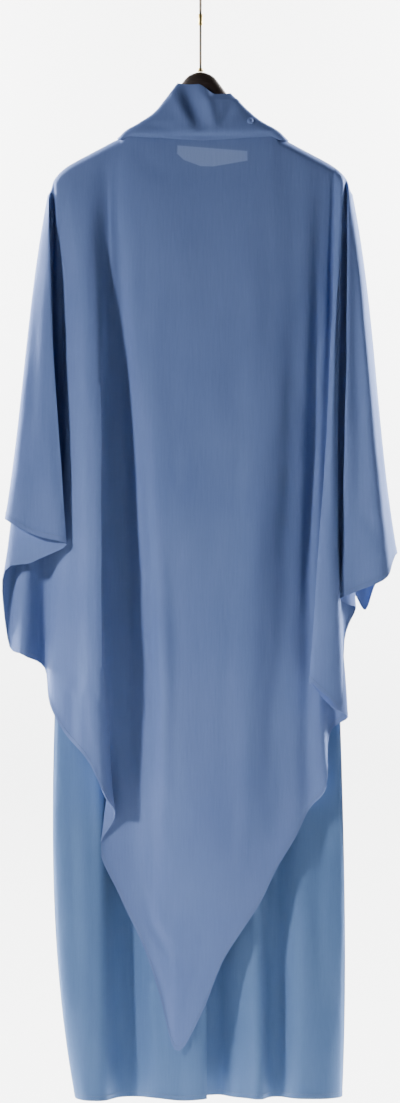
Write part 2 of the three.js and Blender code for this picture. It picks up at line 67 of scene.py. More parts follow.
def add_node(tree, kind, inputs=None, **settings):
    node = tree.nodes.new(kind)
    for name, value in settings.items():
        setattr(node, name, value)
    for socket, value in (inputs or {}).items():
        if isinstance(value, bpy.types.NodeSocket):
            tree.links.new(value, node.inputs[socket])
        else:
            node.inputs[socket].default_value = value
    return node


def colour_mix(tree, share, first, second):
    node = add_node(tree, "ShaderNodeMix", {"Factor": share}, data_type="RGBA")
    sockets = [socket for socket in node.inputs if socket.type == "RGBA"]
    for socket, colour in zip(sockets, (first, second)):
        if isinstance(colour, bpy.types.NodeSocket):
            tree.links.new(colour, socket)
        else:
            socket.default_value = linear(colour)
    return next(socket for socket in node.outputs if socket.type == "RGBA")


def two_tones(tree, share, first, second):
    """A colour ramp between two stops, each a (position, sRGB hex) pair."""
    ramp = add_node(tree, "ShaderNodeValToRGB", {"Fac": share})
    for stop, (position, hex_value) in zip(ramp.color_ramp.elements, (first, second)):
        stop.position = position
        stop.color = linear(hex_value)
    return ramp.outputs["Color"]


def new_material(name):
    material = bpy.data.materials.new(name)
    material.use_nodes = True
    material.node_tree.nodes.clear()
    return material, material.node_tree


# %% [markdown]
# Every piece of this lesson ends in the same few steps: its mesh is shaded smooth, keeps the edges that
# are sharper than some angle, gets its material and is linked to the scene. One more function is shared:
# the Catmull-Rom curve, which runs smoothly through the second and the third of four points.


# %% Piece and curve helpers
def finished_piece(name, mesh, material, sharp_angle=None):
    mesh.polygons.foreach_set("use_smooth", [True] * len(mesh.polygons))
    if sharp_angle:
        mesh.set_sharp_from_angle(angle=math.radians(sharp_angle))
    mesh.materials.append(material)
    piece = bpy.data.objects.new(name, mesh)
    bpy.context.scene.collection.objects.link(piece)
    return piece


def catmull_rom(p0, p1, p2, p3, t):
    return 0.5 * (2 * p1 + (p2 - p0) * t + (2 * p0 - 5 * p1 + 4 * p2 - p3) * t * t
                  + (3 * p1 - p0 - 3 * p2 + p3) * t ** 3)


def with_ends(points):
    """The points, and one more at each end that carries the first and the last step on."""
    return np.concatenate([2 * points[:1] - points[1:2], points, 2 * points[-1:] - points[-2:-1]])


# %% [markdown]
# The photographer stood level with the middle of the robe, so the camera looks straight along +Y at half
# its height. It stands six metres away with a long lens, which keeps the near folds and the far ones
# almost the same size, as in the picture. The lens is long enough for the picture's height to be that of
# a frame held against the back of the cape, whose folds lie about 20 mm nearer than the hanger.

# %% Camera
PICTURE_HEIGHT = 1.577
PICTURE_MIDDLE = (-0.0007, -0.8128)
CAMERA_DISTANCE = 6.0
CLOTH_NEARER = 0.02
SENSOR = 36.0

camera_data = bpy.data.cameras.new("camera")
camera_data.sensor_width = SENSOR
camera_data.lens = SENSOR * (CAMERA_DISTANCE - CLOTH_NEARER) / PICTURE_HEIGHT
camera_data.clip_end = 50
camera = bpy.data.objects.new("camera", camera_data)
camera.location = (PICTURE_MIDDLE[0], -CAMERA_DISTANCE, PICTURE_MIDDLE[1])
camera.rotation_euler = (math.radians(90), 0, 0)
bpy.context.scene.collection.objects.link(camera)
bpy.context.scene.camera = camera

# %% [markdown]
# The stage is a pale sheet that runs along the floor and curves up behind the robe, as photographers
# use. A soft light high on the left rakes across the cloth, so that each ridge throws a shadow into the
# hollow on its right. Its beam is narrow and aimed low, which leaves the shoulders a little darker. Two
# more lights stand behind the robe and face away from it, to make the paper almost white. What the paper
# throws back, and a very weak sky, keep the hollows blue instead of black.

# %% Stage and lights
FLOOR_HEIGHT = -2.0
FLOOR_FRONT = -1.5
PAPER_BEND_START = 0.9
PAPER_BEND = 0.8
PAPER_BEND_STEPS = 12
WALL_TOP = 3.0
STAGE_HALF_WIDTH = 6.0
STAGE_WHITE = "f4f4f2"


def pale_stage():
    profile = [(FLOOR_FRONT, FLOOR_HEIGHT), (PAPER_BEND_START, FLOOR_HEIGHT)]
    for k in range(1, PAPER_BEND_STEPS + 1):
        angle = math.radians(90 / PAPER_BEND_STEPS * k)
        profile.append((
            PAPER_BEND_START + math.sin(angle) * PAPER_BEND,
            FLOOR_HEIGHT + PAPER_BEND - math.cos(angle) * PAPER_BEND,
        ))
    profile.append((PAPER_BEND_START + PAPER_BEND, WALL_TOP))
    vertices = [(x, y, z) for y, z in profile for x in (-STAGE_HALF_WIDTH, STAGE_HALF_WIDTH)]
    faces = [(2 * i, 2 * i + 1, 2 * i + 3, 2 * i + 2) for i in range(len(profile) - 1)]
    mesh = bpy.data.meshes.new("pale_stage")
    mesh.from_pydata(vertices, [], faces)
    material, tree = new_material("matt white paper")
    shader = add_node(tree, "ShaderNodeBsdfPrincipled", {
        "Base Color": linear(STAGE_WHITE), "Roughness": 0.95})
    add_node(tree, "ShaderNodeOutputMaterial", {"Surface": shader.outputs["BSDF"]})
    finished_piece("pale_stage", mesh, material)


def soft_light(name, place, aim, size, watts, spread=180):
    data = bpy.data.lights.new(name, "AREA")
    data.spread = math.radians(spread)
    data.shape = "DISK"
    data.size = size
    data.energy = watts
    light = bpy.data.objects.new(name, data)
    light.location = place
    away = light.location - Vector(aim)
    light.rotation_euler = away.to_track_quat("Z", "Y").to_euler()
    bpy.context.scene.collection.objects.link(light)


pale_stage()
soft_light("key_left", (-2.6, -1.8, 0.7), (0, 0, -1.05), 0.34, 11.3, spread=58)
soft_light("wall_left", (-1.9, 0.9, 0.3), (-0.5, 1.9, -0.4), 1.2, 400)
soft_light("wall_right", (1.9, 0.9, 0.3), (0.5, 1.9, -0.4), 1.2, 400)
world = bpy.data.worlds.new("pale_sky")
world.use_nodes = True
sky = world.node_tree.nodes["Background"]
sky.inputs["Color"].default_value = linear("e9eef8")
sky.inputs["Strength"].default_value = 0.008
bpy.context.scene.world = world

# %% [markdown]
# Hung cloth is easiest to describe by its fold lines: the lines that run from the shoulder down to the
# hem along each ridge and hollow. Each row below is one such line, from left to right, in millimetres:
# its name, the height of the hem, then x and y at the shoulder, one third down, two thirds down and at
# the hem. Where x steps back, the cloth doubles over itself in a pleat. Smooth curves join the rows.

# %% Fold lines of the four panels
CAPE_BACK_FOLDS = [
    ("left arm line", -764, [-219, -242.5, -259.5, -280], [0, 0, 0, 0]),
    ("left wing edge", -769, [-218.7, -239, -255, -275], [-8, -23, -31, -34]),
    ("left wing face", -789, [-218, -226, -231, -238], [-14, -31, -38, -41]),
    ("left wing fold", -803, [-217, -212, -203, -192], [-18, -35, -42, -44]),
    ("left under-wing", -828, [-215.5, -224, -231, -240], [-15, -21, -25, -26]),
    ("left under-wing turn", -854, [-214.5, -236, -258, -284], [-11, -9, -9, -9]),
    ("left drape turn", -939, [-213.5, -234, -259, -277], [-8, 2, 6, 7]),
    ("left drape face", -961, [-212, -226, -243, -254], [-8, -5, -7, -13]),
    ("left drape hollow", -980, [-210, -213, -219, -224], [-9, 2, 5, 7]),
    ("left side edge", -1031, [-206, -202, -200, -215], [-14, -16, -20, -21]),
    ("left side flank", -1072, [-198, -190, -189, -193], [-15.5, -25, -33, -36]),
    ("left ridge", -1112, [-185, -169, -164, -159], [-16, -41, -52, -54]),
    ("left ridge shoulder", -1158, [-165, -146, -144, -137], [-16, -41, -54, -55]),
    ("left hollow", -1193, [-136, -134, -136, -122], [-16, -13, -14, -24]),
    ("left notch", -1237, [-129, -119, -112, -144], [-16, -12, -7, -19]),
    ("left hollow face", -1302, [-121, -106, -90, -117], [-16.5, -15, -14, -21]),
    ("left panel edge", -1383, [-110, -92, -70, -79], [-17, -26, -27, -31]),
    ("left panel", -1447, [-76, -68, -51, -58], [-17.5, -33, -36, -38]),
    ("point", -1523, [-38, -37, -32, -36.5], [-18, -35, -40, -42]),
    ("centre", -1471, [0, 0, 2, 1.5], [-18, -35, -42, -44]),
    ("right panel", -1400, [42, 47, 42, 30], [-18, -35, -42, -43]),
    ("right panel edge", -1356, [80, 86, 74, 57], [-17.5, -34, -40, -42]),
    ("right slope", -1314, [112, 112, 98, 85], [-17, -30, -33, -39]),
    ("right soft hollow", -1265, [140, 130, 117, 109], [-17, -25, -25, -34]),
    ("right slope foot", -1220, [160, 150, 140, 136], [-17, -20, -19, -32]),
    ("right hollow", -1180, [182, 167, 155, 156], [-16, -14, -13, -25]),
    ("right roll", -1147, [186, 176, 168, 180], [-15.5, -12, -14, -31]),
    ("right roll back", -1075, [189, 184, 180, 185], [-15, -9, -10, -12]),
    ("right pleat turn", -1050, [191.5, 192, 197, 210], [-15, -11, -14, -18]),
    ("right pleat under", -1034, [194, 187, 183, 186], [-17, -20, -26, -30]),
    ("right pleat edge", -998, [198.5, 186, 172, 156.6], [-20, -30, -38, -41]),
    ("right pleat face", -1021, [201, 190.5, 183, 182], [-22, -40, -47, -51]),
    ("right pleat crest", -1034, [203.5, 196, 193.5, 203], [-22, -38, -45, -48]),
    ("right gap", -939, [206, 200.5, 199.5, 205], [-15, -22, -27, -31]),
    ("right under-wing turn", -895, [208, 211, 214, 222], [-12, -17, -19, -21]),
    ("right under-wing", -889, [209.7, 209.5, 211, 213], [-15, -25, -29, -31]),
    ("right wing fold", -881, [211.5, 209.5, 204.5, 200], [-19.5, -33, -37, -38]),
    ("right wing face", -869, [214, 219.5, 222, 224], [-19, -36, -41, -42]),
    ("right wing ridge", -849, [216, 233, 247, 266], [-15, -36, -45, -47]),
    ("right wing groove", -828, [217, 238.5, 253.5, 274], [-9.5, -24, -32, -33]),
    ("right wing edge", -815, [217.7, 241, 257.5, 280], [-5, -13, -17, -17]),
    ("right arm line", -815, [218, 243, 259.5, 282], [0, 0, 0, 0]),
]

CAPE_FRONT_FOLDS = [
    ("left arm line", -764, [-219, -242.5, -259.5, -280], [0, 0, 0, 0]),
    ("left wing edge", -782, [-218, -236, -250, -266], [9, 20, 26, 28]),
    ("left wing face", -825, [-214, -219, -222, -228], [15, 30, 38, 42]),
    ("left wing hollow", -896, [-208, -205, -204, -206], [14, 17, 16, 18]),
    ("left ridge", -1025, [-190, -182, -178, -176], [16, 37, 45, 50]),
    ("left hollow", -1125, [-160, -147, -140, -134], [16, 21, 22, 26]),
    ("left panel edge", -1239, [-125, -108, -98, -92], [17, 34, 42, 46]),
    ("left panel", -1354, [-62, -56, -50, -44], [18, 33, 38, 42]),
    ("point", -1440, [0, 2, 4, 6], [18, 37, 44, 48]),
    ("right panel", -1354, [64, 60, 52, 46], [18, 33, 37, 41]),
    ("right panel edge", -1246, [122, 106, 98, 94], [17, 35, 43, 47]),
    ("right hollow", -1132, [158, 146, 142, 138], [16, 20, 21, 26]),
    ("right ridge", -1025, [190, 184, 180, 176], [16, 38, 45, 49]),
    ("right wing hollow", -920, [206, 203, 202, 201], [14, 17, 18, 20]),
    ("right wing tuck", -871, [210, 213, 215, 217], [14.5, 25, 28, 29]),
    ("right wing pouch", -897, [213.5, 223, 230, 238], [13.5, 28, 33, 35]),
    ("right wing face", -862, [216, 233, 244, 251], [11, 22, 27, 28]),
    ("right wing edge", -826, [217.5, 240, 256, 275], [6, 13, 16, 17]),
    ("right arm line", -815, [218, 243, 259.5, 282], [0, 0, 0, 0]),
]

DRESS_BACK_FOLDS = [
    ("left side seam", -1594, [-212.5, -197, -211.5, -180], [0, 2, 0, 0]),
    ("left side", -1595, [-208, -193, -206, -176], [-9, -4, -8, -20]),
    ("left ridge", -1596, [-182, -174, -180, -163], [-11, -6, -16, -35]),
    ("left ridge shoulder", -1596, [-152, -144, -148, -141], [-11, -5, -15, -37]),
    ("left hollow", -1596, [-124, -113, -116, -112], [-11, 1, 5, 2]),
    ("left panel", -1593, [-86, -78, -68, -66], [-11, -4, -20, -29]),
    ("left panel middle", -1596, [-42, -38, -32, -28], [-11, -5, -25, -35]),
    ("pleat face", -1595, [-6, -4, -8, -6], [-11, -6, -27, -38]),
    ("pleat edge", -1594, [6, 6, 7, 9], [-11, -4, -20, -30]),
    ("pleat back", -1594, [10, 8, 1, -3], [-11, 0, -2, 2]),
    ("pleat floor", -1594, [24, 22, 20, 22], [-11, 1, 3, 8]),
    ("right panel", -1594, [58, 56, 56, 58], [-11, -3, -13, -19]),
    ("right panel edge", -1595, [88, 84, 84, 86], [-11, -5, -16, -30]),
    ("right hollow", -1595, [112, 108, 108, 110], [-11, 1, 2, -4]),
    ("right ridge", -1594, [142, 137, 140, 144], [-11, -2, -7, -33]),
    ("right side flank", -1594, [180, 174, 178, 180], [-11, -1, -4, -32]),
    ("right side", -1594, [208, 189, 198, 198], [-9, -1, -3, -17]),
    ("right side seam", -1594, [212.5, 193, 203.5, 203], [0, 2, 0, 0]),
]

DRESS_FRONT_FOLDS = [
    ("left side seam", -1594, [-212.5, -197, -211.5, -180], [0, 2, 0, 0]),
    ("left side", -1594, [-208, -192, -204, -175], [9, 12, 15, 20]),
    ("left ridge", -1595, [-175, -168, -172, -158], [11, 14, 28, 34]),
    ("left hollow", -1595, [-135, -128, -130, -124], [11, 12, 14, 14]),
    ("left panel", -1596, [-90, -88, -86, -84], [11, 14, 26, 36]),
    ("centre hollow", -1595, [-40, -40, -38, -36], [11, 12, 17, 20]),
    ("centre", -1596, [10, 10, 10, 10], [11, 14, 28, 38]),
    ("right panel", -1595, [60, 60, 58, 58], [11, 12, 16, 18]),
    ("right ridge", -1596, [105, 104, 104, 106], [11, 14, 27, 36]),
    ("right hollow", -1595, [145, 142, 146, 148], [11, 12, 15, 16]),
    ("right side flank", -1594, [180, 174, 180, 182], [11, 13, 25, 31]),
    ("right side", -1594, [208, 190, 199, 199], [9, 10, 13, 17]),
    ("right side seam", -1594, [212.5, 193, 203.5, 203], [0, 2, 0, 0]),
]

# %% [markdown]
# The shoulders of each layer follow the hanger's top edge, a little further out for the cape than for
# the dress. The numbers are distances from the middle and heights. A Hermite curve passes through them,
# which keeps the slope of the shoulder smooth.

# %% Shoulder lines
WALL = 1.6
SEAM = 0.4
SHOULDER_DROP = 0.9
SEAM_REACH = 3
HANGER_TOP = [
    (0, -125), (10, -127), (19, -132), (27, -141.5), (38, -157), (48, -172.5), (58, -186), (70, -198.5),
    (84, -209), (98, -216.5), (112, -223), (125, -228.8), (140, -236.8), (163, -249), (177, -256.5),
    (191, -265), (201, -274), (208, -284), (211, -295),
]


def height_on(table, distance):
    last = len(table) - 1
    i = 0
    while i < last - 1 and table[i + 1][0] < distance:
        i += 1
    (x0, z0), (x1, z1) = table[max(0, i - 1)], table[i]
    (x2, z2), (x3, z3) = table[i + 1], table[min(last, i + 2)]
    span = x2 - x1
    share = (distance - x1) / span
    slope1 = (z2 - z0) / ((x2 - x0) or 1) * span
    slope2 = (z3 - z1) / ((x3 - x1) or 1) * span
    if share > 1:
        return z2 + (z2 - z1) / span * (distance - x2)
    a = 2 * z1 - 2 * z2 + slope1 + slope2
    b = -3 * z1 + 3 * z2 - 2 * slope1 - slope2
    return ((a * share + b) * share + slope1) * share + z1


def moved_out(table, distance):
    moved = []
    for i, (x, z) in enumerate(table):
        (xa, za), (xb, zb) = table[max(0, i - 1)], table[min(len(table) - 1, i + 1)]
        length = math.hypot(xb - xa, zb - za)
        moved.append((x - (zb - za) / length * distance, z + (xb - xa) / length * distance))
    return moved


def over_arms(lift, start):
    return moved_out([point for point in HANGER_TOP if point[0] >= start], lift)


DRESS_LIFT = SEAM + WALL / 2
CAPE_LIFT = DRESS_LIFT + WALL + SEAM
CAPE = {
    "top": [(0, -216), (40, -215.5), (75, -214), *over_arms(CAPE_LIFT, 98), (219, -303)],
    "neck": 100, "ridge": 116, "neck_depth": 16,
}
DRESS = {
    "top": [(0, -232), (25, -229), (42, -214), (51, -194), *over_arms(DRESS_LIFT, 58)],
    "neck": 58, "ridge": 76, "neck_depth": 11.8,
}
print("cape shoulder at its end:", round(height_on(CAPE["top"], 219), 1), "mm")

# %% [markdown]
# A panel is a grid of points. Across it, a centripetal Catmull-Rom curve runs through the fold lines:
# that kind keeps tight turns round instead of letting them loop. Down each line, a cubic runs through
# the four given places. Over the shoulder, the cloth rolls through a quarter of an ellipse.


# %% From fold lines to a grid
def smooth_step(low, high, value):
    share = np.clip((value - low) / (high - low), 0, 1)
    return share * share * (3 - 2 * share)


def through(values, share):
    a, b, c, d = values
    t = share * 3
    return (
        a * -(t - 1) * (t - 2) * (t - 3) / 6 + b * t * (t - 2) * (t - 3) / 2
        - c * t * (t - 1) * (t - 3) / 2 + d * t * (t - 1) * (t - 2) / 6
    )


def across(points, place):
    last = len(points) - 1
    i = min(max(int(place), 0), last - 1)
    b, c = points[i], points[i + 1]
    a = points[i - 1] if i > 0 else 2 * b - c
    d = points[i + 2] if i + 2 <= last else 2 * c - b
    knots = [0.0]
    for p, q in ((a, b), (b, c), (c, d)):
        knots.append(knots[-1] + math.sqrt(math.hypot(p[0] - q[0], p[1] - q[1])) + 1e-6)
    t = knots[1] + (knots[2] - knots[1]) * (place - i)

    def blend(p, q, start, end):
        return p + (q - p) * ((t - start) / (end - start))

    ab = blend(a, b, knots[0], knots[1])
    bc = blend(b, c, knots[1], knots[2])
    cd = blend(c, d, knots[2], knots[3])
    abc = blend(ab, bc, knots[0], knots[2])
    bcd = blend(bc, cd, knots[1], knots[3])
    return blend(abc, bcd, knots[1], knots[2])


def row_between(folds, place):
    spots = []
    for k in range(4):
        points = [np.array((x[k], y[k], hem), float) for _, hem, x, y in folds]
        spots.append(across(points, place))
    return {"hem": spots[3][2], "x": [spot[0] for spot in spots], "y": [spot[1] for spot in spots]}


def panel_grid(folds, layer, side, per_fold, rows_over, rows_down):
    count = (len(folds) - 1) * per_fold + 1
    grid = np.zeros((rows_over + rows_down + 1, count, 3))
    down = np.linspace(0, 1, rows_down + 1)
    angle = np.arange(rows_over) / rows_over * math.pi / 2
    for j in range(count):
        row = row_between(folds, j / per_fold)
        distance = abs(row["x"][0])
        top = height_on(layer["top"], distance)
        neck = 1 - smooth_step(layer["neck"], layer["ridge"], distance)
        edge = side * max(SEAM / 2, layer["neck_depth"] * neck)
        reach = side * max(SEAM / 2, abs(row["y"][0])) - edge
        drop = abs(reach) * SHOULDER_DROP
        grid[:rows_over, j, 0] = row["x"][0]
        grid[:rows_over, j, 1] = edge + reach * np.sin(angle)
        grid[:rows_over, j, 2] = top - drop * (1 - np.cos(angle))
        seamed = all(abs(y) < SEAM_REACH for y in row["y"][1:])
        grid[rows_over:, j, 0] = through(row["x"], down)
        grid[rows_over:, j, 1] = through(row["y"], down) + (side * SEAM / 2 if seamed else 0)
        grid[rows_over:, j, 2] = (top - drop) + (row["hem"] - (top - drop)) * down
    return grid


def grid_normals(grid, outward, closed=False):
    if closed:
        along = np.roll(grid, -1, axis=1) - np.roll(grid, 1, axis=1)
    else:
        along = np.gradient(grid, axis=1)
    down = np.gradient(grid, axis=0)
    normals = np.cross(along, down) * outward
    return normals / np.maximum(np.linalg.norm(normals, axis=2, keepdims=True), 1e-9)


# %% [markdown]
# Real cloth is never as even as its fold lines. Two things are laid over the grid. A slow wave, made of
# a few sines with fixed phases, lets every ridge waver a little. Then the creases: each is a short path
# on the cloth with a width and a depth in millimetres, pushed in where the depth is positive and raised
# where it is negative. They fade at both ends, so a path that goes on below the hem keeps its depth down
# to the edge. Only the cloth that faces out takes them.

# %% Creases
# Columns: name, path of (x, z), half width, depth.
CAPE_BACK_CREASES = [
    ("left valley",
     [(-116, -330), (-112, -620), (-104, -860), (-98, -1060), (-96, -1200), (-93, -1330)], 15, 7.5),
    ("left valley edge", [(-82, -640), (-74, -860), (-68, -1060), (-74, -1220)], 9, 6.0),
    ("left panel lip", [(-56, -800), (-48, -1000), (-54, -1240)], 9, -4.0),
    ("left ridge lip", [(-144, -380), (-143, -640), (-141, -900), (-138, -1060)], 7, -5.0),
    ("left ridge flank", [(-176, -400), (-178, -640), (-176, -860), (-172, -1030)], 11, 3.5),
    ("valley behind the left wing", [(-202, -320), (-201, -500), (-200, -760)], 5, 5.0),
    ("right hollow slope", [(132, -400), (129, -620), (122, -880)], 16, 3.0),
    ("right hollow foot", [(168, -330), (166, -480), (160, -700), (150, -900)], 8, 6.0),
    ("valley behind the right pleat", [(200, -310), (200, -500), (199, -700), (201, -830)], 5, 8.0),
    ("right wing flare", [(246, -400), (260, -600), (270, -780)], 7, -2.0),
    ("centre press line", [(3, -640), (4, -760), (3, -900)], 3.0, -0.7),
    ("pinch left of centre", [(-42, -668), (-36, -700), (-29, -730)], 5, 1.4),
    ("pinch right of centre", [(56, -670), (55, -755)], 4.5, 1.2),
    ("left ridge hook", [(-167, -985), (-184, -1014), (-180, -1088)], 6, 2.6),
    ("left ridge hook light", [(-158, -990), (-172, -1018), (-169, -1090)], 6, -1.4),
    ("right wing diagonal", [(228, -748), (243, -778), (262, -803)], 6, 2.6),
    ("right wing long hollow", [(219, -360), (223, -560), (230, -740)], 10, 5.0),
    ("left wing long hollow", [(-232, -380), (-241, -520), (-250, -700)], 10, 3.2),
    ("left wing soft ridge", [(-222, -420), (-226, -560), (-232, -700)], 7, -1.8),
    ("left hem hollow", [(-150, -1010), (-132, -1050), (-128, -1100), (-124, -1180)], 6, 4.0),
    ("left side shade", [(-176, -980), (-168, -1040), (-160, -1110)], 8, 2.4),
    ("point overlap", [(-78, -1300), (-70, -1350), (-40, -1384)], 5, 2.4),
    ("point overlap light", [(-66, -1296), (-58, -1338), (-34, -1366)], 6, -1.2),
    ("point middle", [(-34, -1330), (-35, -1420), (-36, -1500)], 7, -2.0),
    ("point left hollow", [(-62, -1400), (-52, -1450), (-44, -1496)], 6, 1.6),
    ("point right hollow", [(8, -1340), (-6, -1410), (-22, -1470)], 9, 1.8),
    ("left shoulder fall", [(-170, -262), (-178, -330), (-190, -460)], 14, 2.0),
    ("left shoulder fall 2", [(-140, -250), (-138, -330), (-128, -470)], 12, 1.5),
    ("right shoulder fall", [(168, -262), (176, -340), (186, -470)], 14, 1.8),
    ("right shoulder fall 2", [(130, -252), (134, -330), (128, -460)], 13, 1.2),
    ("nape drag left", [(-96, -232), (-70, -262), (-30, -282)], 11, 1.4),
    ("nape drag right", [(104, -236), (80, -268), (44, -290)], 11, 1.2),
    ("upper back left", [(-84, -320), (-80, -450), (-84, -600)], 16, 1.4),
    ("upper back right", [(96, -330), (100, -470), (94, -640)], 17, 1.5),
    ("middle left ridge", [(-60, -820), (-54, -960), (-56, -1110)], 12, -1.8),
    ("middle right hollow", [(38, -860), (36, -1000), (30, -1160)], 13, 1.8),
    ("lower right ridge", [(66, -1050), (62, -1180), (56, -1290)], 11, -1.8),
    ("right slope hollow", [(104, -980), (98, -1090), (92, -1200)], 9, 2.0),
    ("left hollow side", [(-112, -620), (-108, -760), (-104, -900)], 8, 2.0),
    ("left panel lower hollow", [(-70, -1160), (-68, -1260), (-74, -1340)], 8, 1.6),
]
CAPE_FRONT_CREASES = [
    ("centre press line", [(3, -620), (4, -780), (3, -900)], 3.0, -0.7),
    ("upper left", [(-88, -330), (-82, -470), (-86, -640)], 16, 1.6),
    ("upper right", [(90, -320), (96, -460), (90, -600)], 16, 1.5),
    ("left shoulder fall", [(-166, -262), (-176, -340), (-188, -470)], 14, 2.0),
    ("right shoulder fall", [(170, -262), (178, -330), (190, -480)], 14, 2.0),
    ("pinch left", [(-38, -700), (-30, -760)], 5, 1.3),
    ("pinch right", [(48, -640), (52, -730)], 5, 1.2),
    ("middle left ridge", [(-34, -840), (-30, -980), (-26, -1130)], 12, -1.8),
    ("middle right hollow", [(34, -880), (32, -1010), (28, -1180)], 12, 1.7),
    ("wing left hollow", [(-238, -420), (-246, -560), (-254, -700)], 8, 2.2),
    ("wing right hollow", [(238, -420), (246, -580), (252, -720)], 8, 2.2),
    ("point middle", [(4, -1260), (5, -1340), (6, -1420)], 8, -1.8),
]
DRESS_BACK_CREASES = [
    ("left ridge lip", [(-146, -1080), (-143, -1300), (-140, -1700)], 8, -5.0),
    ("left valley", [(-112, -900), (-106, -1300), (-98, -1800)], 16, 9.0),
    ("left valley edge", [(-92, -1120), (-86, -1300), (-82, -1700)], 10, 5.0),
    ("pleat shadow", [(24, -1400), (26, -1540), (26, -1800)], 11, 7.0),
    ("right panel lip", [(78, -1240), (80, -1400), (82, -1700)], 8, -4.0),
    ("right valley", [(104, -1000), (106, -1400), (108, -1800)], 15, 9.0),
    ("short crease at the hem", [(10, -1502), (22, -1516), (36, -1524)], 5, 1.8),
    ("left hollow line", [(-104, -1240), (-106, -1380), (-108, -1540)], 6, 1.6),
    ("left ridge line", [(-168, -1180), (-160, -1330), (-162, -1520)], 9, -1.8),
    ("left side line", [(-188, -1100), (-184, -1260), (-176, -1480)], 8, 2.0),
    ("right ridge line", [(150, -1240), (152, -1380), (148, -1540)], 10, -1.6),
    ("right soft hollow", [(172, -1160), (168, -1320), (172, -1500)], 10, 1.8),
    ("right panel ridge", [(66, -1380), (62, -1460), (64, -1550)], 9, -1.6),
    ("left panel line", [(-60, -1450), (-54, -1500), (-56, -1560)], 8, 1.4),
]
DRESS_FRONT_CREASES = [
    ("left hollow line", [(-130, -1180), (-126, -1340), (-128, -1520)], 8, 1.8),
    ("left ridge line", [(-86, -1280), (-84, -1400), (-88, -1540)], 10, -1.6),
    ("centre hollow", [(-34, -1360), (-38, -1460), (-36, -1550)], 9, 1.7),
    ("right ridge line", [(108, -1220), (104, -1380), (110, -1540)], 10, -1.6),
    ("right side hollow", [(150, -1150), (146, -1320), (150, -1500)], 9, 1.9),
]


# Columns: length of the wave across the cloth and down it, and its share of the strength.
WAVES = [(150, 520, 1.0), (90, 300, 0.7), (46, 170, 0.35), (24, 90, 0.14)]


def lay_waver(grid, normals, strength, seed):
    random = np.random.default_rng(seed)
    wave = np.zeros(grid.shape[:2])
    for size_x, size_z, amount in WAVES:
        phase = random.uniform(0, 2 * math.pi, 4)
        lean = random.uniform(-0.25, 0.25)
        u = (grid[..., 0] + lean * grid[..., 2]) / size_x * 2 * math.pi
        v = grid[..., 2] / size_z * 2 * math.pi
        wave += amount * np.sin(u + phase[0] + 0.9 * np.sin(v + phase[1])) * np.sin(v * 0.7 + phase[2])
    down_share = np.linspace(0, 1, grid.shape[0])[:, None]
    across_share = np.linspace(0, 1, grid.shape[1])[None, :]
    fade = smooth_step(0.04, 0.3, down_share)
    fade = fade * smooth_step(0, 0.03, across_share) * smooth_step(0, 0.03, 1 - across_share)
    return grid + normals * (wave * fade * strength)[..., None]


def lay_creases(grid, normals, creases, side):
    facing = smooth_step(0.15, 0.6, normals[..., 1] * side)
    push = np.zeros(grid.shape[:2])
    for _, path, half_width, depth in creases:
        path = np.array(path, float)
        best = np.full(grid.shape[:2], 1e9)
        along = np.zeros(grid.shape[:2])
        lengths = np.concatenate([[0], np.cumsum(np.linalg.norm(np.diff(path, axis=0), axis=1))])
        for k in range(len(path) - 1):
            step = path[k + 1] - path[k]
            offset = grid[..., [0, 2]] - path[k]
            share = np.clip((offset @ step) / (step @ step), 0, 1)
            distance = np.linalg.norm(offset - share[..., None] * step, axis=2)
            nearer = distance < best
            best = np.where(nearer, distance, best)
            walked = lengths[k] + share * (lengths[k + 1] - lengths[k])
            along = np.where(nearer, walked / lengths[-1], along)
        ends = np.sin(np.clip(along, 0.02, 0.98) * math.pi) ** 0.7
        push += depth * ends * np.exp(-((best / half_width) ** 2))
    return grid - normals * (push * facing)[..., None]


for place, creases in (
    ("cape's back", CAPE_BACK_CREASES), ("cape's front", CAPE_FRONT_CREASES),
    ("dress's back", DRESS_BACK_CREASES), ("dress's front", DRESS_FRONT_CREASES),
):
    print(f"creases on the {place}: {len(creases)}")

# %% [markdown]
# A sheet of crepe is under a millimetre thick. The grid gets a skin on each side and closed borders, so
# it is a real shell that looks right from inside the wings too. Near the hem the shell is a little
# thicker, because the edge is turned in and sewn down. The same band is stored as an attribute, so that
# the material can make it a little darker.

# %% A closed shell of cloth
CLOTH_THICKNESS = 0.8
HEM_DEPTH = 8.0
HEM_THICKNESS = 0.7
CLOTH_EDGE = 55


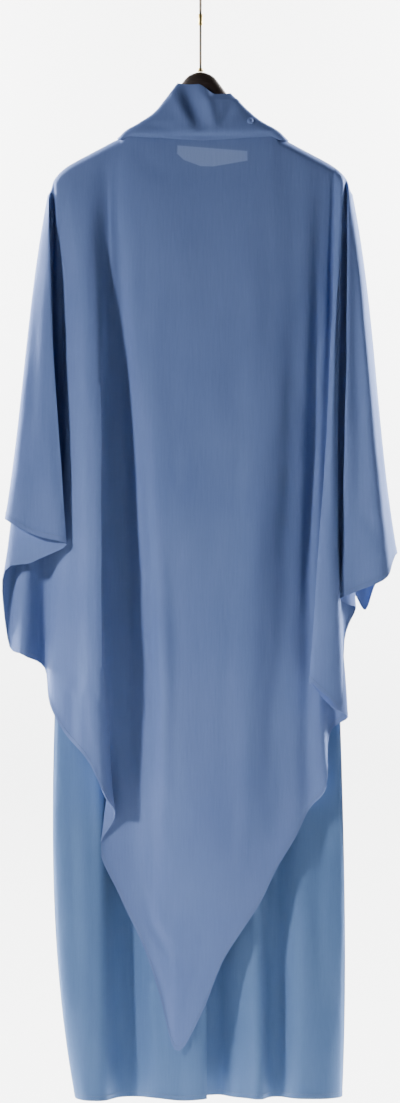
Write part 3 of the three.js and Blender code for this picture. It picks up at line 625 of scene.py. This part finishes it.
def shell_piece(name, grid, normals, material, closed=False, hem_rows=None, marks=None):
    rows, columns = grid.shape[:2]
    extra = np.zeros((rows, columns)) if hem_rows is None else hem_rows * HEM_THICKNESS / 2
    half = (CLOTH_THICKNESS / 2 + extra)[..., None]
    outer, inward = grid + normals * half, grid - normals * half
    points = np.concatenate([outer.reshape(-1, 3), inward.reshape(-1, 3)]) * MM
    inner = rows * columns
    wrap = columns if closed else columns - 1
    i, j = np.meshgrid(np.arange(rows - 1), np.arange(wrap), indexing="ij")
    a, b = i * columns + j, i * columns + (j + 1) % columns
    c, d = (i + 1) * columns + (j + 1) % columns, (i + 1) * columns + j
    outer_faces = np.stack([a, b, c, d], axis=-1).reshape(-1, 4)
    faces = [outer_faces, outer_faces[:, ::-1] + inner]
    j = np.arange(wrap)
    k = (j + 1) % columns
    last = (rows - 1) * columns
    faces.append(np.stack([j, j + inner, k + inner, k], axis=-1))
    faces.append(np.stack([last + j, last + k, last + k + inner, last + j + inner], axis=-1))
    if not closed:
        i = np.arange(rows - 1) * columns
        faces.append(np.stack([i, i + columns, i + columns + inner, i + inner], axis=-1))
        i = i + columns - 1
        faces.append(np.stack([i, i + inner, i + columns + inner, i + columns], axis=-1))
    faces = np.concatenate(faces)
    first, second, third, fourth = (points[faces[:, k]] for k in range(4))
    volume = np.einsum("ij,ij->", first, np.cross(second - first, third - first))
    volume += np.einsum("ij,ij->", first, np.cross(third - first, fourth - first))
    if volume < 0:
        faces = faces[:, ::-1]
    mesh = bpy.data.meshes.new(name)
    mesh.from_pydata(points.tolist(), [], faces.tolist())
    piece = finished_piece(name, mesh, material, sharp_angle=CLOTH_EDGE)
    for key, values in (marks or {}).items():
        attribute = mesh.attributes.new(key, "FLOAT", "POINT")
        attribute.data.foreach_set("value", np.tile(values.ravel(), 2).astype(np.float32))
    print(name, "triangles:", len(faces) * 2)
    return piece


def distance_to_hem(grid):
    steps = np.linalg.norm(np.diff(grid, axis=0), axis=2)
    to_hem = np.zeros(grid.shape[:2])
    to_hem[:-1] = np.cumsum(steps[::-1], axis=0)[::-1]
    return to_hem


# %% [markdown]
# Crepe is woven from tightly twisted yarns that shrink and pull the cloth into a fine pebble. To the eye
# it is matt, with a faint chalky glow where it turns away. A noise of yarn size gives the pebble, a
# second one stretched down the cloth gives the uneven yarns, and a slow one shifts the colour a little,
# as dye takes unevenly. Pebbles of real crepe are about 0.5 mm, too fine for this picture, so they are
# drawn at 1.6 mm. The Principled shader's sheen gives the glow.
#
# The label lies behind the cloth, and where the thin crepe rests on its tape, the eye sees a paler patch.
# Its outline is a few corners, and a point is inside it if it is on the inner side of every edge.

# %% Crepe for the cape and the dress
PEBBLE = 1.6
YARN = 3.2
YARN_STRETCH = 0.09
DYE_PATCH = 170.0
TAPE_OUTLINE = [(-33, -232), (67, -240), (67.5, -254), (18, -262.5), (0, -262), (-24, -253), (-33.5, -244)]
TAPE_EDGE = (-0.6, 0.8)


def tape_patch(tree, place):
    sides = [((0, -1, 0), 0.0)]
    for (x0, z0), (x1, z1) in zip(TAPE_OUTLINE, TAPE_OUTLINE[1:] + TAPE_OUTLINE[:1]):
        length = math.hypot(x1 - x0, z1 - z0)
        inward = ((z1 - z0) / length, 0, -(x1 - x0) / length)
        sides.append((inward, (inward[0] * x0 + inward[2] * z0) * MM))
    inside = None
    for inward, offset in sides:
        reach = add_node(tree, "ShaderNodeVectorMath", {0: place, 1: inward}, operation="DOT_PRODUCT")
        inner = add_node(tree, "ShaderNodeMath", {0: reach.outputs["Value"], 1: offset}, operation="SUBTRACT")
        if inside is not None:
            inner = add_node(tree, "ShaderNodeMath", {
                0: inside, 1: inner.outputs["Value"]}, operation="MINIMUM")
        inside = inner.outputs["Value"]
    edge = add_node(tree, "ShaderNodeMapRange", {
        "Value": inside, "From Min": TAPE_EDGE[0] * MM, "From Max": TAPE_EDGE[1] * MM,
        "To Min": 0.0, "To Max": 1.0})
    return edge.outputs["Result"]


def crepe(name, main_hex, deep_hex, hem_hex, tape_hex):
    material, tree = new_material(name)
    place = add_node(tree, "ShaderNodeTexCoord")
    pebble = add_node(tree, "ShaderNodeTexNoise", {
        "Vector": place.outputs["Object"], "Scale": 1 / (PEBBLE * MM), "Detail": 2.0, "Roughness": 0.6})
    drawn = add_node(tree, "ShaderNodeMapping", {
        "Vector": place.outputs["Object"], "Scale": (1, 1, YARN_STRETCH)})
    yarns = add_node(tree, "ShaderNodeTexNoise", {
        "Vector": drawn.outputs["Vector"], "Scale": 1 / (YARN * MM), "Detail": 3.0, "Roughness": 0.55})
    dye = add_node(tree, "ShaderNodeTexNoise", {
        "Vector": place.outputs["Object"], "Scale": 1 / (DYE_PATCH * MM), "Detail": 2.0})
    dye_share = add_node(tree, "ShaderNodeMapRange", {
        "Value": dye.outputs["Fac"], "From Min": 0.3, "From Max": 0.7, "To Min": 0.0, "To Max": 1.0})
    dyed = colour_mix(tree, dye_share.outputs["Result"], main_hex, deep_hex)
    yarn_share = add_node(tree, "ShaderNodeMapRange", {
        "Value": yarns.outputs["Fac"], "From Min": 0.25, "From Max": 0.75, "To Min": 0.965, "To Max": 1.03})
    woven = add_node(tree, "ShaderNodeVectorMath", {
        0: dyed, 1: yarn_share.outputs["Result"]}, operation="MULTIPLY")
    hem = add_node(tree, "ShaderNodeAttribute", attribute_name="hem_band")
    with_hem = colour_mix(tree, hem.outputs["Fac"], woven.outputs["Vector"], hem_hex)
    with_tape = colour_mix(tree, tape_patch(tree, place.outputs["Object"]), with_hem, tape_hex)
    fine = add_node(tree, "ShaderNodeBump", {
        "Height": pebble.outputs["Fac"], "Strength": 0.35, "Distance": 0.00025})
    slub = add_node(tree, "ShaderNodeBump", {
        "Height": yarns.outputs["Fac"], "Normal": fine.outputs["Normal"], "Strength": 0.5,
        "Distance": 0.0006})
    rough = add_node(tree, "ShaderNodeMapRange", {
        "Value": pebble.outputs["Fac"], "From Min": 0.2, "From Max": 0.8, "To Min": 0.72, "To Max": 0.9})
    shader = add_node(tree, "ShaderNodeBsdfPrincipled", {
        "Base Color": with_tape, "Roughness": rough.outputs["Result"], "Normal": slub.outputs["Normal"],
        "IOR": 1.45, "Sheen Weight": 0.06, "Sheen Roughness": 0.5, "Sheen Tint": linear("b9cae6"),
        "Specular IOR Level": 0.25})
    add_node(tree, "ShaderNodeOutputMaterial", {"Surface": shader.outputs["BSDF"]})
    return material


cape_crepe = crepe("steel blue crepe of the cape", "6a7fb5", "6378ae", "6679ad", "889dd1")
dress_crepe = crepe("steel blue crepe of the dress", "5d7aa9", "5673a2", "5e78a6", "889dd1")
thread, thread_tree = new_material("polyester sewing thread")
thread_shader = add_node(thread_tree, "ShaderNodeBsdfPrincipled", {
    "Base Color": linear("5c739c"), "Roughness": 0.55, "Sheen Weight": 0.1})
add_node(thread_tree, "ShaderNodeOutputMaterial", {"Surface": thread_shader.outputs["BSDF"]})

# %% [markdown]
# Now the four panels. Each fold gets five to nine columns and the length 120 to 148 rows, so that the
# creases have points to move. Each panel follows the CAD wall that it replaces, apart from its waver and
# its creases. The hem's stitches run along a line just inside the turned-in edge, on the outer side.

# %% Cape and dress
# Columns: name, CAD node, fold lines, layer, side, columns per fold, rows, cloth, creases, waver in mm,
# seed of the waver. Side -1 is the back, which the picture shows.
PANELS = [
    ("cape_back_cloth", "cape_back", CAPE_BACK_FOLDS, CAPE, -1, 5, 148, cape_crepe,
     CAPE_BACK_CREASES, 1.0, 11),
    ("cape_front_cloth", "cape_front", CAPE_FRONT_FOLDS, CAPE, 1, 8, 130, cape_crepe,
     CAPE_FRONT_CREASES, 1.1, 12),
    ("dress_back_cloth", "dress_back", DRESS_BACK_FOLDS, DRESS, -1, 8, 130, dress_crepe,
     DRESS_BACK_CREASES, 0.8, 13),
    ("dress_front_cloth", "dress_front", DRESS_FRONT_FOLDS, DRESS, 1, 9, 120, dress_crepe,
     DRESS_FRONT_CREASES, 0.9, 14),
]
SHOULDER_ROWS = 6
STITCH_LINE = HEM_DEPTH - 1.2


def upright_at_seams(normals, on_ridge):
    """Normals at the side seams and along the shoulder don't lean to either side of the body."""
    normals[:, [0, -1], 1] = 0
    normals[0, on_ridge, 1] = 0
    return normals / np.maximum(np.linalg.norm(normals, axis=2, keepdims=True), 1e-9)


def stitch_line(grid, normals, to_hem):
    last = grid.shape[0] - 1
    line = []
    for k in range(grid.shape[1]):
        i = int(np.argmin(np.abs(to_hem[:, k] - STITCH_LINE)))
        upper, lower = grid[max(i - 1, 0), k], grid[min(i + 1, last), k]
        spot = grid[-1, k] + (upper - lower) / np.linalg.norm(upper - lower) * STITCH_LINE
        line.append(spot + normals[-1, k] * (CLOTH_THICKNESS + HEM_THICKNESS) / 2)
    return np.array(line) * MM


panels = {}
hem_lines = {}

for name, node, folds, layer, side, per_fold, rows, cloth, creases, waver, seed in PANELS:
    grid = panel_grid(folds, layer, side, per_fold, SHOULDER_ROWS, rows)
    grid = lay_waver(grid, grid_normals(grid, side), waver, seed)
    grid = lay_creases(grid, grid_normals(grid, side), creases, side)
    on_ridge = np.abs(grid[0, :, 0]) > layer["neck"]
    normals = upright_at_seams(grid_normals(grid, side), on_ridge)
    to_hem = distance_to_hem(grid)
    band = 1 - smooth_step(HEM_DEPTH - 0.6, HEM_DEPTH + 0.6, to_hem)
    piece = shell_piece(name, grid, normals, cloth, hem_rows=band, marks={"hem_band": band * 0.5})
    panels[name] = (piece, node)
    hem_lines[name] = stitch_line(grid, normals, to_hem)

# %% [markdown]
# The hood has sunk into a stand-up collar round the neck of the hanger. It is a flattened tube through a
# few rings, with a dip in the right half of its rim, soft hollows that run down from the rim, and a foot
# that lies close round the shoulders.

# %% Hood collar
# Columns: name, height, left end, right end, depth, how far its ends stand higher, how closely it hugs
# the shoulders, from 0 to 1.
COLLAR_RINGS = [
    ("top edge", -144, -33, 43, 15.2, 2, 0),
    ("neck", -166, -51, 54, 20.5, 0, 0),
    ("neck foot", -184, -66, 71, 22.5, 0, 0),
    ("spread", -198, -86, 89, 24, 0, 0),
    ("roll", -207.5, -108, 113, 24.4, 0, 0.4),
    ("foot", -216, -119, 126, 20.4, 0, 1),
]
COLLAR_DIP = {"from": -4, "to": 22, "depth": 14.5}
COLLAR_SQUARENESS = 0.2
COLLAR_ROWS = 60
COLLAR_COLUMNS = 220
HUG_GAP = 2.6
COLLAR_CREASES = [
    ("diagonal ridge", [(-40, -150), (-30, -176), (-10, -206)], 9, -2.4),
    ("diagonal hollow", [(-24, -140), (-12, -172), (4, -212)], 12, 7.0),
    ("diagonal crest", [(3, -150), (12, -172), (22, -208)], 7, -2.2),
    ("long shadow under the roll", [(-80, -218), (0, -220), (70, -219), (120, -216)], 5, 2.4),
    ("right hollow", [(46, -168), (40, -186), (26, -206)], 8, 2.0),
    ("left foot hollow", [(-84, -202), (-62, -206), (-34, -212)], 7, 1.2),
]


def on_shoulders(x, share):
    ridge = np.array([height_on(CAPE["top"], max(CAPE["neck"], abs(value))) for value in np.ravel(x)])
    drop = CAPE["neck_depth"] * SHOULDER_DROP
    return ridge.reshape(np.shape(x)) + HUG_GAP - drop * (1 - np.sqrt(np.clip(1 - share * share, 0, 1)))


def collar_grid(rows, columns):
    places = np.linspace(0, len(COLLAR_RINGS) - 1, rows)
    turns = np.arange(columns) / columns * 2 * math.pi
    rings = with_ends(np.array([ring[1:] for ring in COLLAR_RINGS], float))
    grid = np.zeros((rows, columns, 3))
    for r, place in enumerate(places):
        i = min(int(place), len(COLLAR_RINGS) - 2)
        z, left, right, depth, lift, hug = catmull_rom(*rings[i:i + 4], place - i)
        x = (left + right) / 2 + (right - left) / 2 * np.cos(turns)
        share = np.abs(np.sin(turns)) ** COLLAR_SQUARENESS
        y = -np.sign(np.sin(turns)) * depth * share
        dip = COLLAR_DIP["depth"] * smooth_step(COLLAR_DIP["from"], COLLAR_DIP["to"], x)
        dip = dip * max(0, 1 - place)
        straight = z + lift * np.cos(turns) ** 4 - dip
        hugging = on_shoulders(x, share)
        grid[r] = np.stack([x, y, straight + (hugging - straight) * min(max(hug, 0), 1)], axis=-1)
    return grid


def collar_normals(grid):
    """Normals that point out: the first half of each ring is the back, which faces -Y."""
    normals = grid_normals(grid, 1, closed=True)
    if normals[:, :COLLAR_COLUMNS // 2, 1].mean() > 0:
        normals = -normals
    return normals


collar = collar_grid(COLLAR_ROWS, COLLAR_COLUMNS)
collar = lay_creases(collar, collar_normals(collar), COLLAR_CREASES, -1)
collar_piece = shell_piece("hood_collar_cloth", collar, collar_normals(collar), cape_crepe, closed=True,
                           marks={"hem_band": np.zeros(collar.shape[:2])})

# %% [markdown]
# Cut edges of crepe are turned in and sewn with a short straight stitch. Geometry Nodes repeat one
# stitch along each hem: the line becomes a curve, the curve is sampled at the stitch length, and a
# thread of five sides is laid along it at every point. Realize Instances turns the copies into a mesh.

# %% Hem stitches
STITCH_PITCH = 3.0
STITCH_LENGTH = 2.2
STITCH_RADIUS = 0.28
THREAD_SIDES = 5
FACES_PER_STITCH = THREAD_SIDES + 2


def stitch_tree():
    tree = bpy.data.node_groups.new("straight stitch along a line", "GeometryNodeTree")
    face = tree.interface
    face.new_socket("Geometry", in_out="INPUT", socket_type="NodeSocketGeometry")
    for name in ("Pitch", "Length", "Radius"):
        face.new_socket(name, in_out="INPUT", socket_type="NodeSocketFloat")
    face.new_socket("Thread", in_out="INPUT", socket_type="NodeSocketMaterial")
    face.new_socket("Geometry", in_out="OUTPUT", socket_type="NodeSocketGeometry")
    given = add_node(tree, "NodeGroupInput")
    line = add_node(tree, "GeometryNodeMeshToCurve", {"Mesh": given.outputs["Geometry"]})
    spaced = add_node(tree, "GeometryNodeResampleCurve", {
        "Curve": line.outputs["Curve"], "Length": given.outputs["Pitch"]}, mode="LENGTH")
    stitch = add_node(tree, "GeometryNodeMeshCylinder", {
        "Vertices": THREAD_SIDES, "Radius": given.outputs["Radius"], "Depth": given.outputs["Length"]})
    tangent = add_node(tree, "GeometryNodeInputTangent")
    turn = add_node(tree, "FunctionNodeAlignRotationToVector", {
        "Vector": tangent.outputs["Tangent"]}, axis="Z")
    laid = add_node(tree, "GeometryNodeInstanceOnPoints", {
        "Points": spaced.outputs["Curve"], "Instance": stitch.outputs["Mesh"],
        "Rotation": turn.outputs["Rotation"]})
    real = add_node(tree, "GeometryNodeRealizeInstances", {"Geometry": laid.outputs["Instances"]})
    finished = add_node(tree, "GeometryNodeSetMaterial", {
        "Geometry": real.outputs["Geometry"], "Material": given.outputs["Thread"]})
    add_node(tree, "NodeGroupOutput", {"Geometry": finished.outputs["Geometry"]})
    return tree


def line_mesh(name, points):
    mesh = bpy.data.meshes.new(name)
    mesh.from_pydata(points.tolist(), [(i, i + 1) for i in range(len(points) - 1)], [])
    return mesh


def grown(name, start_mesh, tree, values):
    """Runs a node tree on a mesh and keeps the result as a plain mesh."""
    piece = bpy.data.objects.new(name, start_mesh)
    bpy.context.scene.collection.objects.link(piece)
    modifier = piece.modifiers.new(tree.name, "NODES")
    modifier.node_group = tree
    sockets = {item.name: item.identifier for item in tree.interface.items_tree if item.in_out == "INPUT"}
    for key, value in values.items():
        modifier[sockets[key]] = value
    bpy.context.view_layer.update()
    evaluated = piece.evaluated_get(bpy.context.evaluated_depsgraph_get())
    mesh = bpy.data.meshes.new_from_object(evaluated)
    piece.modifiers.clear()
    piece.data = mesh
    mesh.name = name
    return piece


STITCHES = stitch_tree()
stitch_pieces = {}
for name, line in hem_lines.items():
    stitched = grown(name.replace("cloth", "hem_stitches"), line_mesh(name + "_line", line), STITCHES, {
        "Pitch": STITCH_PITCH * MM, "Length": STITCH_LENGTH * MM, "Radius": STITCH_RADIUS * MM,
        "Thread": thread})
    stitch_pieces[name] = stitched
    print(stitched.name, "stitches:", len(stitched.data.polygons) // FACES_PER_STITCH)

# %% [markdown]
# The hanger is turned from a dark stained hardwood. Its oval section follows the top edge of the CAD
# model, with more stations and more sides, and its ends are rounded. Wood shows long streaks, because
# the saw cuts along its fibres: a noise stretched a lot along the hanger gives them, and a thin coat of
# varnish gives the soft gloss.

# %% Dark hardwood
GRAIN = 1.8
GRAIN_STRETCH = 0.06


def stained_wood():
    material, tree = new_material("dark stained hardwood")
    place = add_node(tree, "ShaderNodeTexCoord")
    drawn = add_node(tree, "ShaderNodeMapping", {
        "Vector": place.outputs["Object"], "Scale": (GRAIN_STRETCH, 1, 1)})
    grain = add_node(tree, "ShaderNodeTexNoise", {
        "Vector": drawn.outputs["Vector"], "Scale": 1 / (GRAIN * MM), "Detail": 4.0, "Roughness": 0.6})
    tone = two_tones(tree, grain.outputs["Fac"], (0.32, "241b18"), (0.7, "463732"))
    bump = add_node(tree, "ShaderNodeBump", {
        "Height": grain.outputs["Fac"], "Strength": 0.3, "Distance": 0.0002})
    rough = add_node(tree, "ShaderNodeMapRange", {
        "Value": grain.outputs["Fac"], "To Min": 0.42, "To Max": 0.58})
    shader = add_node(tree, "ShaderNodeBsdfPrincipled", {
        "Base Color": tone, "Roughness": rough.outputs["Result"], "Normal": bump.outputs["Normal"],
        "Coat Weight": 0.25, "Coat Roughness": 0.3})
    add_node(tree, "ShaderNodeOutputMaterial", {"Surface": shader.outputs["BSDF"]})
    return material


hardwood = stained_wood()

# %% Hanger
WOOD_DEPTH = 20
CROWN_DEPTH = 42
CROWN_REACH = (12, 52)
WOOD_THICKNESS = 17
WOOD_EDGE = 50
HANGER_STATIONS = 96
ROUNDED_STATIONS = 9
END_SIZE = 0.4
WOOD_SIDES = 24


def closed_tube(name, rings, material):
    """A tube through rings of points, with a fan at each end."""
    count, sides = rings.shape[:2]
    points = np.concatenate([rings.reshape(-1, 3), rings[[0, -1]].mean(axis=1)]) * MM
    faces = []
    for i in range(count - 1):
        for k in range(sides):
            n = (k + 1) % sides
            faces.append((i * sides + k, i * sides + n, (i + 1) * sides + n, (i + 1) * sides + k))
    first, last = count * sides, count * sides + 1
    for k in range(sides):
        n = (k + 1) % sides
        faces.append((first, n, k))
        faces.append((last, (count - 1) * sides + k, (count - 1) * sides + n))
    mesh = bpy.data.meshes.new(name)
    mesh.from_pydata(points.tolist(), [], faces)
    centre = points.mean(axis=0)
    mesh.update()
    volume = sum(p.area * np.dot(p.normal, np.array(p.center) - centre) for p in mesh.polygons)
    if volume < 0:
        mesh.flip_normals()
    return finished_piece(name, mesh, material, sharp_angle=WOOD_EDGE)


def wooden_hanger():
    edge = np.array([(-x, z) for x, z in reversed(HANGER_TOP[1:])] + list(HANGER_TOP), float)
    lengths = np.concatenate([[0], np.cumsum(np.linalg.norm(np.diff(edge, axis=0), axis=1))])
    dense = []
    for walked in np.linspace(0, lengths[-1], HANGER_STATIONS + 1):
        i = min(int(np.searchsorted(lengths, walked, side="right")) - 1, len(edge) - 2)
        t = (walked - lengths[i]) / (lengths[i + 1] - lengths[i])
        before, after = edge[max(0, i - 1)], edge[min(len(edge) - 1, i + 2)]
        dense.append(catmull_rom(before, edge[i], edge[i + 1], after, t))
    dense = np.array(dense)
    tangents = np.gradient(dense, axis=0)
    tangents /= np.linalg.norm(tangents, axis=1, keepdims=True)
    angles = np.arange(WOOD_SIDES) / WOOD_SIDES * 2 * math.pi
    rings = np.zeros((len(dense), WOOD_SIDES, 3))
    for i, (spot, tangent) in enumerate(zip(dense, tangents)):
        to_end = min(min(i, len(dense) - 1 - i) / ROUNDED_STATIONS, 1)
        size = END_SIZE + (1 - END_SIZE) * math.sqrt(max(0.0, 1 - (1 - to_end) ** 2))
        inward = np.array((tangent[1], -tangent[0]))
        crown = 1 - smooth_step(*CROWN_REACH, abs(spot[0]))
        wood_depth = WOOD_DEPTH + (CROWN_DEPTH - WOOD_DEPTH) * crown
        depth = wood_depth / 2 * size * (1 - np.cos(angles))
        rings[i, :, 0] = spot[0] + inward[0] * depth
        rings[i, :, 1] = WOOD_THICKNESS / 2 * size * np.sin(angles)
        rings[i, :, 2] = spot[1] + inward[1] * depth
    return closed_tube("wooden_hanger", rings, hardwood)


hanger_piece = wooden_hanger()

# %% [markdown]
# The hook is a steel wire, blackened and waxed, so it is dark with a dull shine and a few brown spots
# where the black has worn. The band round it and the ferrule on the wood are brass, turned and
# polished, with the fine rings of the turning tool.

# %% Blackened steel and brass
def blackened_steel():
    material, tree = new_material("blackened steel wire")
    place = add_node(tree, "ShaderNodeTexCoord")
    worn = add_node(tree, "ShaderNodeTexNoise", {
        "Vector": place.outputs["Object"], "Scale": 160.0, "Detail": 3.0})
    tone = two_tones(tree, worn.outputs["Fac"], (0.4, "55534d"), (0.72, "6d5a45"))
    rough = add_node(tree, "ShaderNodeMapRange", {
        "Value": worn.outputs["Fac"], "To Min": 0.3, "To Max": 0.48})
    shader = add_node(tree, "ShaderNodeBsdfPrincipled", {
        "Base Color": tone, "Metallic": 0.85, "Roughness": rough.outputs["Result"]})
    add_node(tree, "ShaderNodeOutputMaterial", {"Surface": shader.outputs["BSDF"]})
    return material


def polished_brass():
    material, tree = new_material("turned brass")
    place = add_node(tree, "ShaderNodeTexCoord")
    drawn = add_node(tree, "ShaderNodeMapping", {"Vector": place.outputs["Object"], "Scale": (1, 1, 14)})
    turning = add_node(tree, "ShaderNodeTexNoise", {
        "Vector": drawn.outputs["Vector"], "Scale": 210.0, "Detail": 2.0})
    tone = two_tones(tree, turning.outputs["Fac"], (0.3, "b39a5c"), (0.75, "d9c084"))
    bump = add_node(tree, "ShaderNodeBump", {
        "Height": turning.outputs["Fac"], "Strength": 0.15, "Distance": 0.0001})
    shader = add_node(tree, "ShaderNodeBsdfPrincipled", {
        "Base Color": tone, "Metallic": 1.0, "Roughness": 0.34, "Normal": bump.outputs["Normal"]})
    add_node(tree, "ShaderNodeOutputMaterial", {"Surface": shader.outputs["BSDF"]})
    return material


steel = blackened_steel()
brass = polished_brass()

# %% [markdown]
# The hook's wire follows a path: straight up out of the ferrule, a small step back, then a bend of more
# than half a circle. Geometry Nodes sweep a round section along that path and close its ends.

# %% Hook wire
WIRE_DIAMETER = 4.0
WIRE_EDGE = 50
BEND_RADIUS = 19.0
BEND_TURNS = np.arange(190, -25.1, -21.5)
PATH_STEPS = 8
FERRULE_FOOT = HANGER_TOP[0][1] + SEAM
FERRULE_HEIGHT = 5


def hook_path():
    points = [(0, FERRULE_FOOT + FERRULE_HEIGHT + SEAM), (0, -95), (0, -70), (0, -52), (0, -44),
              (-1, -38), (-9, -31)]
    middle = WIRE_DIAMETER / 2 - BEND_RADIUS
    for angle in np.radians(BEND_TURNS):
        points.append((BEND_RADIUS * math.cos(angle), middle + BEND_RADIUS * math.sin(angle)))
    points = np.array(points)
    padded = with_ends(points)
    smooth = []
    for i in range(len(points) - 1):
        for t in np.linspace(0, 1, PATH_STEPS, endpoint=False):
            smooth.append(catmull_rom(*padded[i:i + 4], t))
    smooth.append(points[-1])
    return np.array([(0, y, z) for y, z in smooth]) * MM


def sweep_tree():
    tree = bpy.data.node_groups.new("round wire along a line", "GeometryNodeTree")
    face = tree.interface
    face.new_socket("Geometry", in_out="INPUT", socket_type="NodeSocketGeometry")
    face.new_socket("Radius", in_out="INPUT", socket_type="NodeSocketFloat")
    face.new_socket("Metal", in_out="INPUT", socket_type="NodeSocketMaterial")
    face.new_socket("Geometry", in_out="OUTPUT", socket_type="NodeSocketGeometry")
    given = add_node(tree, "NodeGroupInput")
    line = add_node(tree, "GeometryNodeMeshToCurve", {"Mesh": given.outputs["Geometry"]})
    section = add_node(tree, "GeometryNodeCurvePrimitiveCircle", {
        "Resolution": 16, "Radius": given.outputs["Radius"]})
    swept = add_node(tree, "GeometryNodeCurveToMesh", {
        "Curve": line.outputs["Curve"], "Profile Curve": section.outputs["Curve"], "Fill Caps": True})
    smooth = add_node(tree, "GeometryNodeSetShadeSmooth", {"Geometry": swept.outputs["Mesh"]})
    real = add_node(tree, "GeometryNodeRealizeInstances", {"Geometry": smooth.outputs["Geometry"]})
    finished = add_node(tree, "GeometryNodeSetMaterial", {
        "Geometry": real.outputs["Geometry"], "Material": given.outputs["Metal"]})
    add_node(tree, "NodeGroupOutput", {"Geometry": finished.outputs["Geometry"]})
    return tree


wire_piece = grown("hook_steel_wire", line_mesh("hook_route", hook_path()), sweep_tree(), {
    "Radius": WIRE_DIAMETER / 2 * MM, "Metal": steel})
wire_piece.data.set_sharp_from_angle(angle=math.radians(WIRE_EDGE))
print("hook wire:", len(wire_piece.data.polygons), "faces")

# %% [markdown]
# A turned piece is made from its profile, spun in steps round its axis: the ferrule on the wood, the band
# on the wire and the snap on the collar, whose cap is covered with the cloth of the cape.

# %% Turned pieces: ferrule, band and snap
TURNED_EDGE = 40


def turned_piece(name, profile, material, place=(0, 0, 0), axis=(0, 0, 1), sides=40):
    """Spins a profile of (radius, height) round an axis. A profile that starts off the axis is a ring."""
    profile = np.array(profile, float)
    hollow = profile[0][0] > 0
    angles = np.arange(sides) / sides * 2 * math.pi
    up = np.array(axis, float) / np.linalg.norm(axis)
    side = np.cross(up, (1, 0, 0)) if abs(up[0]) < 0.9 else np.cross(up, (0, 1, 0))
    side /= np.linalg.norm(side)
    third = np.cross(up, side)
    points, faces = [], []
    for radius, height in profile:
        for angle in angles:
            spoke = side * math.cos(angle) + third * math.sin(angle)
            points.append(np.array(place) + up * height + radius * spoke)
    count = len(profile)
    for i in range(count if hollow else count - 1):
        for k in range(sides):
            n, below = (k + 1) % sides, (i + 1) % count
            faces.append((i * sides + k, i * sides + n, below * sides + n, below * sides + k))
    mesh = bpy.data.meshes.new(name)
    mesh.from_pydata([tuple(p * MM) for p in points], [], faces)
    form = bmesh.new()
    form.from_mesh(mesh)
    bmesh.ops.remove_doubles(form, verts=form.verts, dist=1e-7)
    bmesh.ops.recalc_face_normals(form, faces=form.faces)
    form.to_mesh(mesh)
    form.free()
    return finished_piece(name, mesh, material, sharp_angle=TURNED_EDGE)


# Profiles are (radius, height) points.
FERRULE = [(0, 0), (4.3, 0), (4.5, 0.25), (4.5, 1.3), (4.2, 1.7), (3.7, 2.4), (3.4, 3.6), (3.2, 4.7),
           (2.9, 5), (0, 5)]
ferrule_piece = turned_piece("brass_ferrule", FERRULE, brass, place=(0, 0, FERRULE_FOOT))
BAND = [(2.4, 0), (3.1, 0), (3.4, 0.35), (3.4, 1.5), (3.25, 1.75), (3.25, 14.25), (3.4, 14.5), (3.4, 15.65),
        (3.1, 16), (2.4, 16)]
BAND_FOOT = -58
band_piece = turned_piece("brass_band", BAND, brass, place=(0, 0, BAND_FOOT))

snap_low, snap_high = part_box("collar_snap")
snap_middle = [(low + high) / 2 / MM for low, high in zip(snap_low, snap_high)]
SNAP = [(0, 0), (4.1, 0), (4.5, 0.4), (4.5, 0.8), (4.1, 1.3), (3.9, 1.4), (3.5, 2.0), (2.5, 2.6), (1.2, 2.9),
        (0, 3)]
SNAP_AXIS = (0.1, -1, 0.16)
snap_piece = turned_piece("covered_snap", SNAP, cape_crepe, axis=SNAP_AXIS,
                          place=(snap_middle[0], snap_high[1] / MM, snap_middle[2]))

# %% [markdown]
# The tape of the label is a flat satin weave. It copies the CAD solid, whose place is already right, and
# gets ribs of yarn across it, 0.5 mm apart in the real tape and drawn at 1 mm to show. Blender's wave
# texture repeats after 0.314 m at a scale of 1.

# %% Label tape
RIB = 1.0
WAVE_LENGTH = 0.314
satin, satin_tree = new_material("satin label tape")
tape_place = add_node(satin_tree, "ShaderNodeTexCoord")
ribs = add_node(satin_tree, "ShaderNodeTexWave", {
    "Vector": tape_place.outputs["Object"], "Scale": WAVE_LENGTH / (RIB * MM), "Distortion": 0.6,
    "Detail": 1.0}, bands_direction="Z")
rib_tone = two_tones(satin_tree, ribs.outputs["Fac"], (0.0, "a4aec0"), (1.0, "bec7d6"))
rib_bump = add_node(satin_tree, "ShaderNodeBump", {
    "Height": ribs.outputs["Fac"], "Strength": 0.3, "Distance": 0.0002})
satin_shader = add_node(satin_tree, "ShaderNodeBsdfPrincipled", {
    "Base Color": rib_tone, "Roughness": 0.5, "Normal": rib_bump.outputs["Normal"],
    "Sheen Weight": 0.3, "Sheen Roughness": 0.3})
add_node(satin_tree, "ShaderNodeOutputMaterial", {"Surface": satin_shader.outputs["BSDF"]})
label_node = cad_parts["nape_label"]
label_node.data.materials.clear()
label_node.data.materials.append(satin)

# %% [markdown]
# Every piece rides on the object's one body, "root", and stands for the CAD node under it.


def declare(piece, node=None):
    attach(piece, "root")
    if node:
        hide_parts(node)


for name, (piece, node) in panels.items():
    declare(piece, node)
for name, stitches in stitch_pieces.items():
    declare(stitches)

for piece, node, slot in (
    (collar_piece, "hood_collar", "cape_crepe"), (hanger_piece, "hanger", "dark_wood"),
    (wire_piece, "hook_wire", "hook_steel"), (ferrule_piece, "hook_ferrule", "hook_brass"),
    (band_piece, "hook_band", "hook_brass"), (snap_piece, "collar_snap", "cape_crepe"),
):
    declare(piece, node)
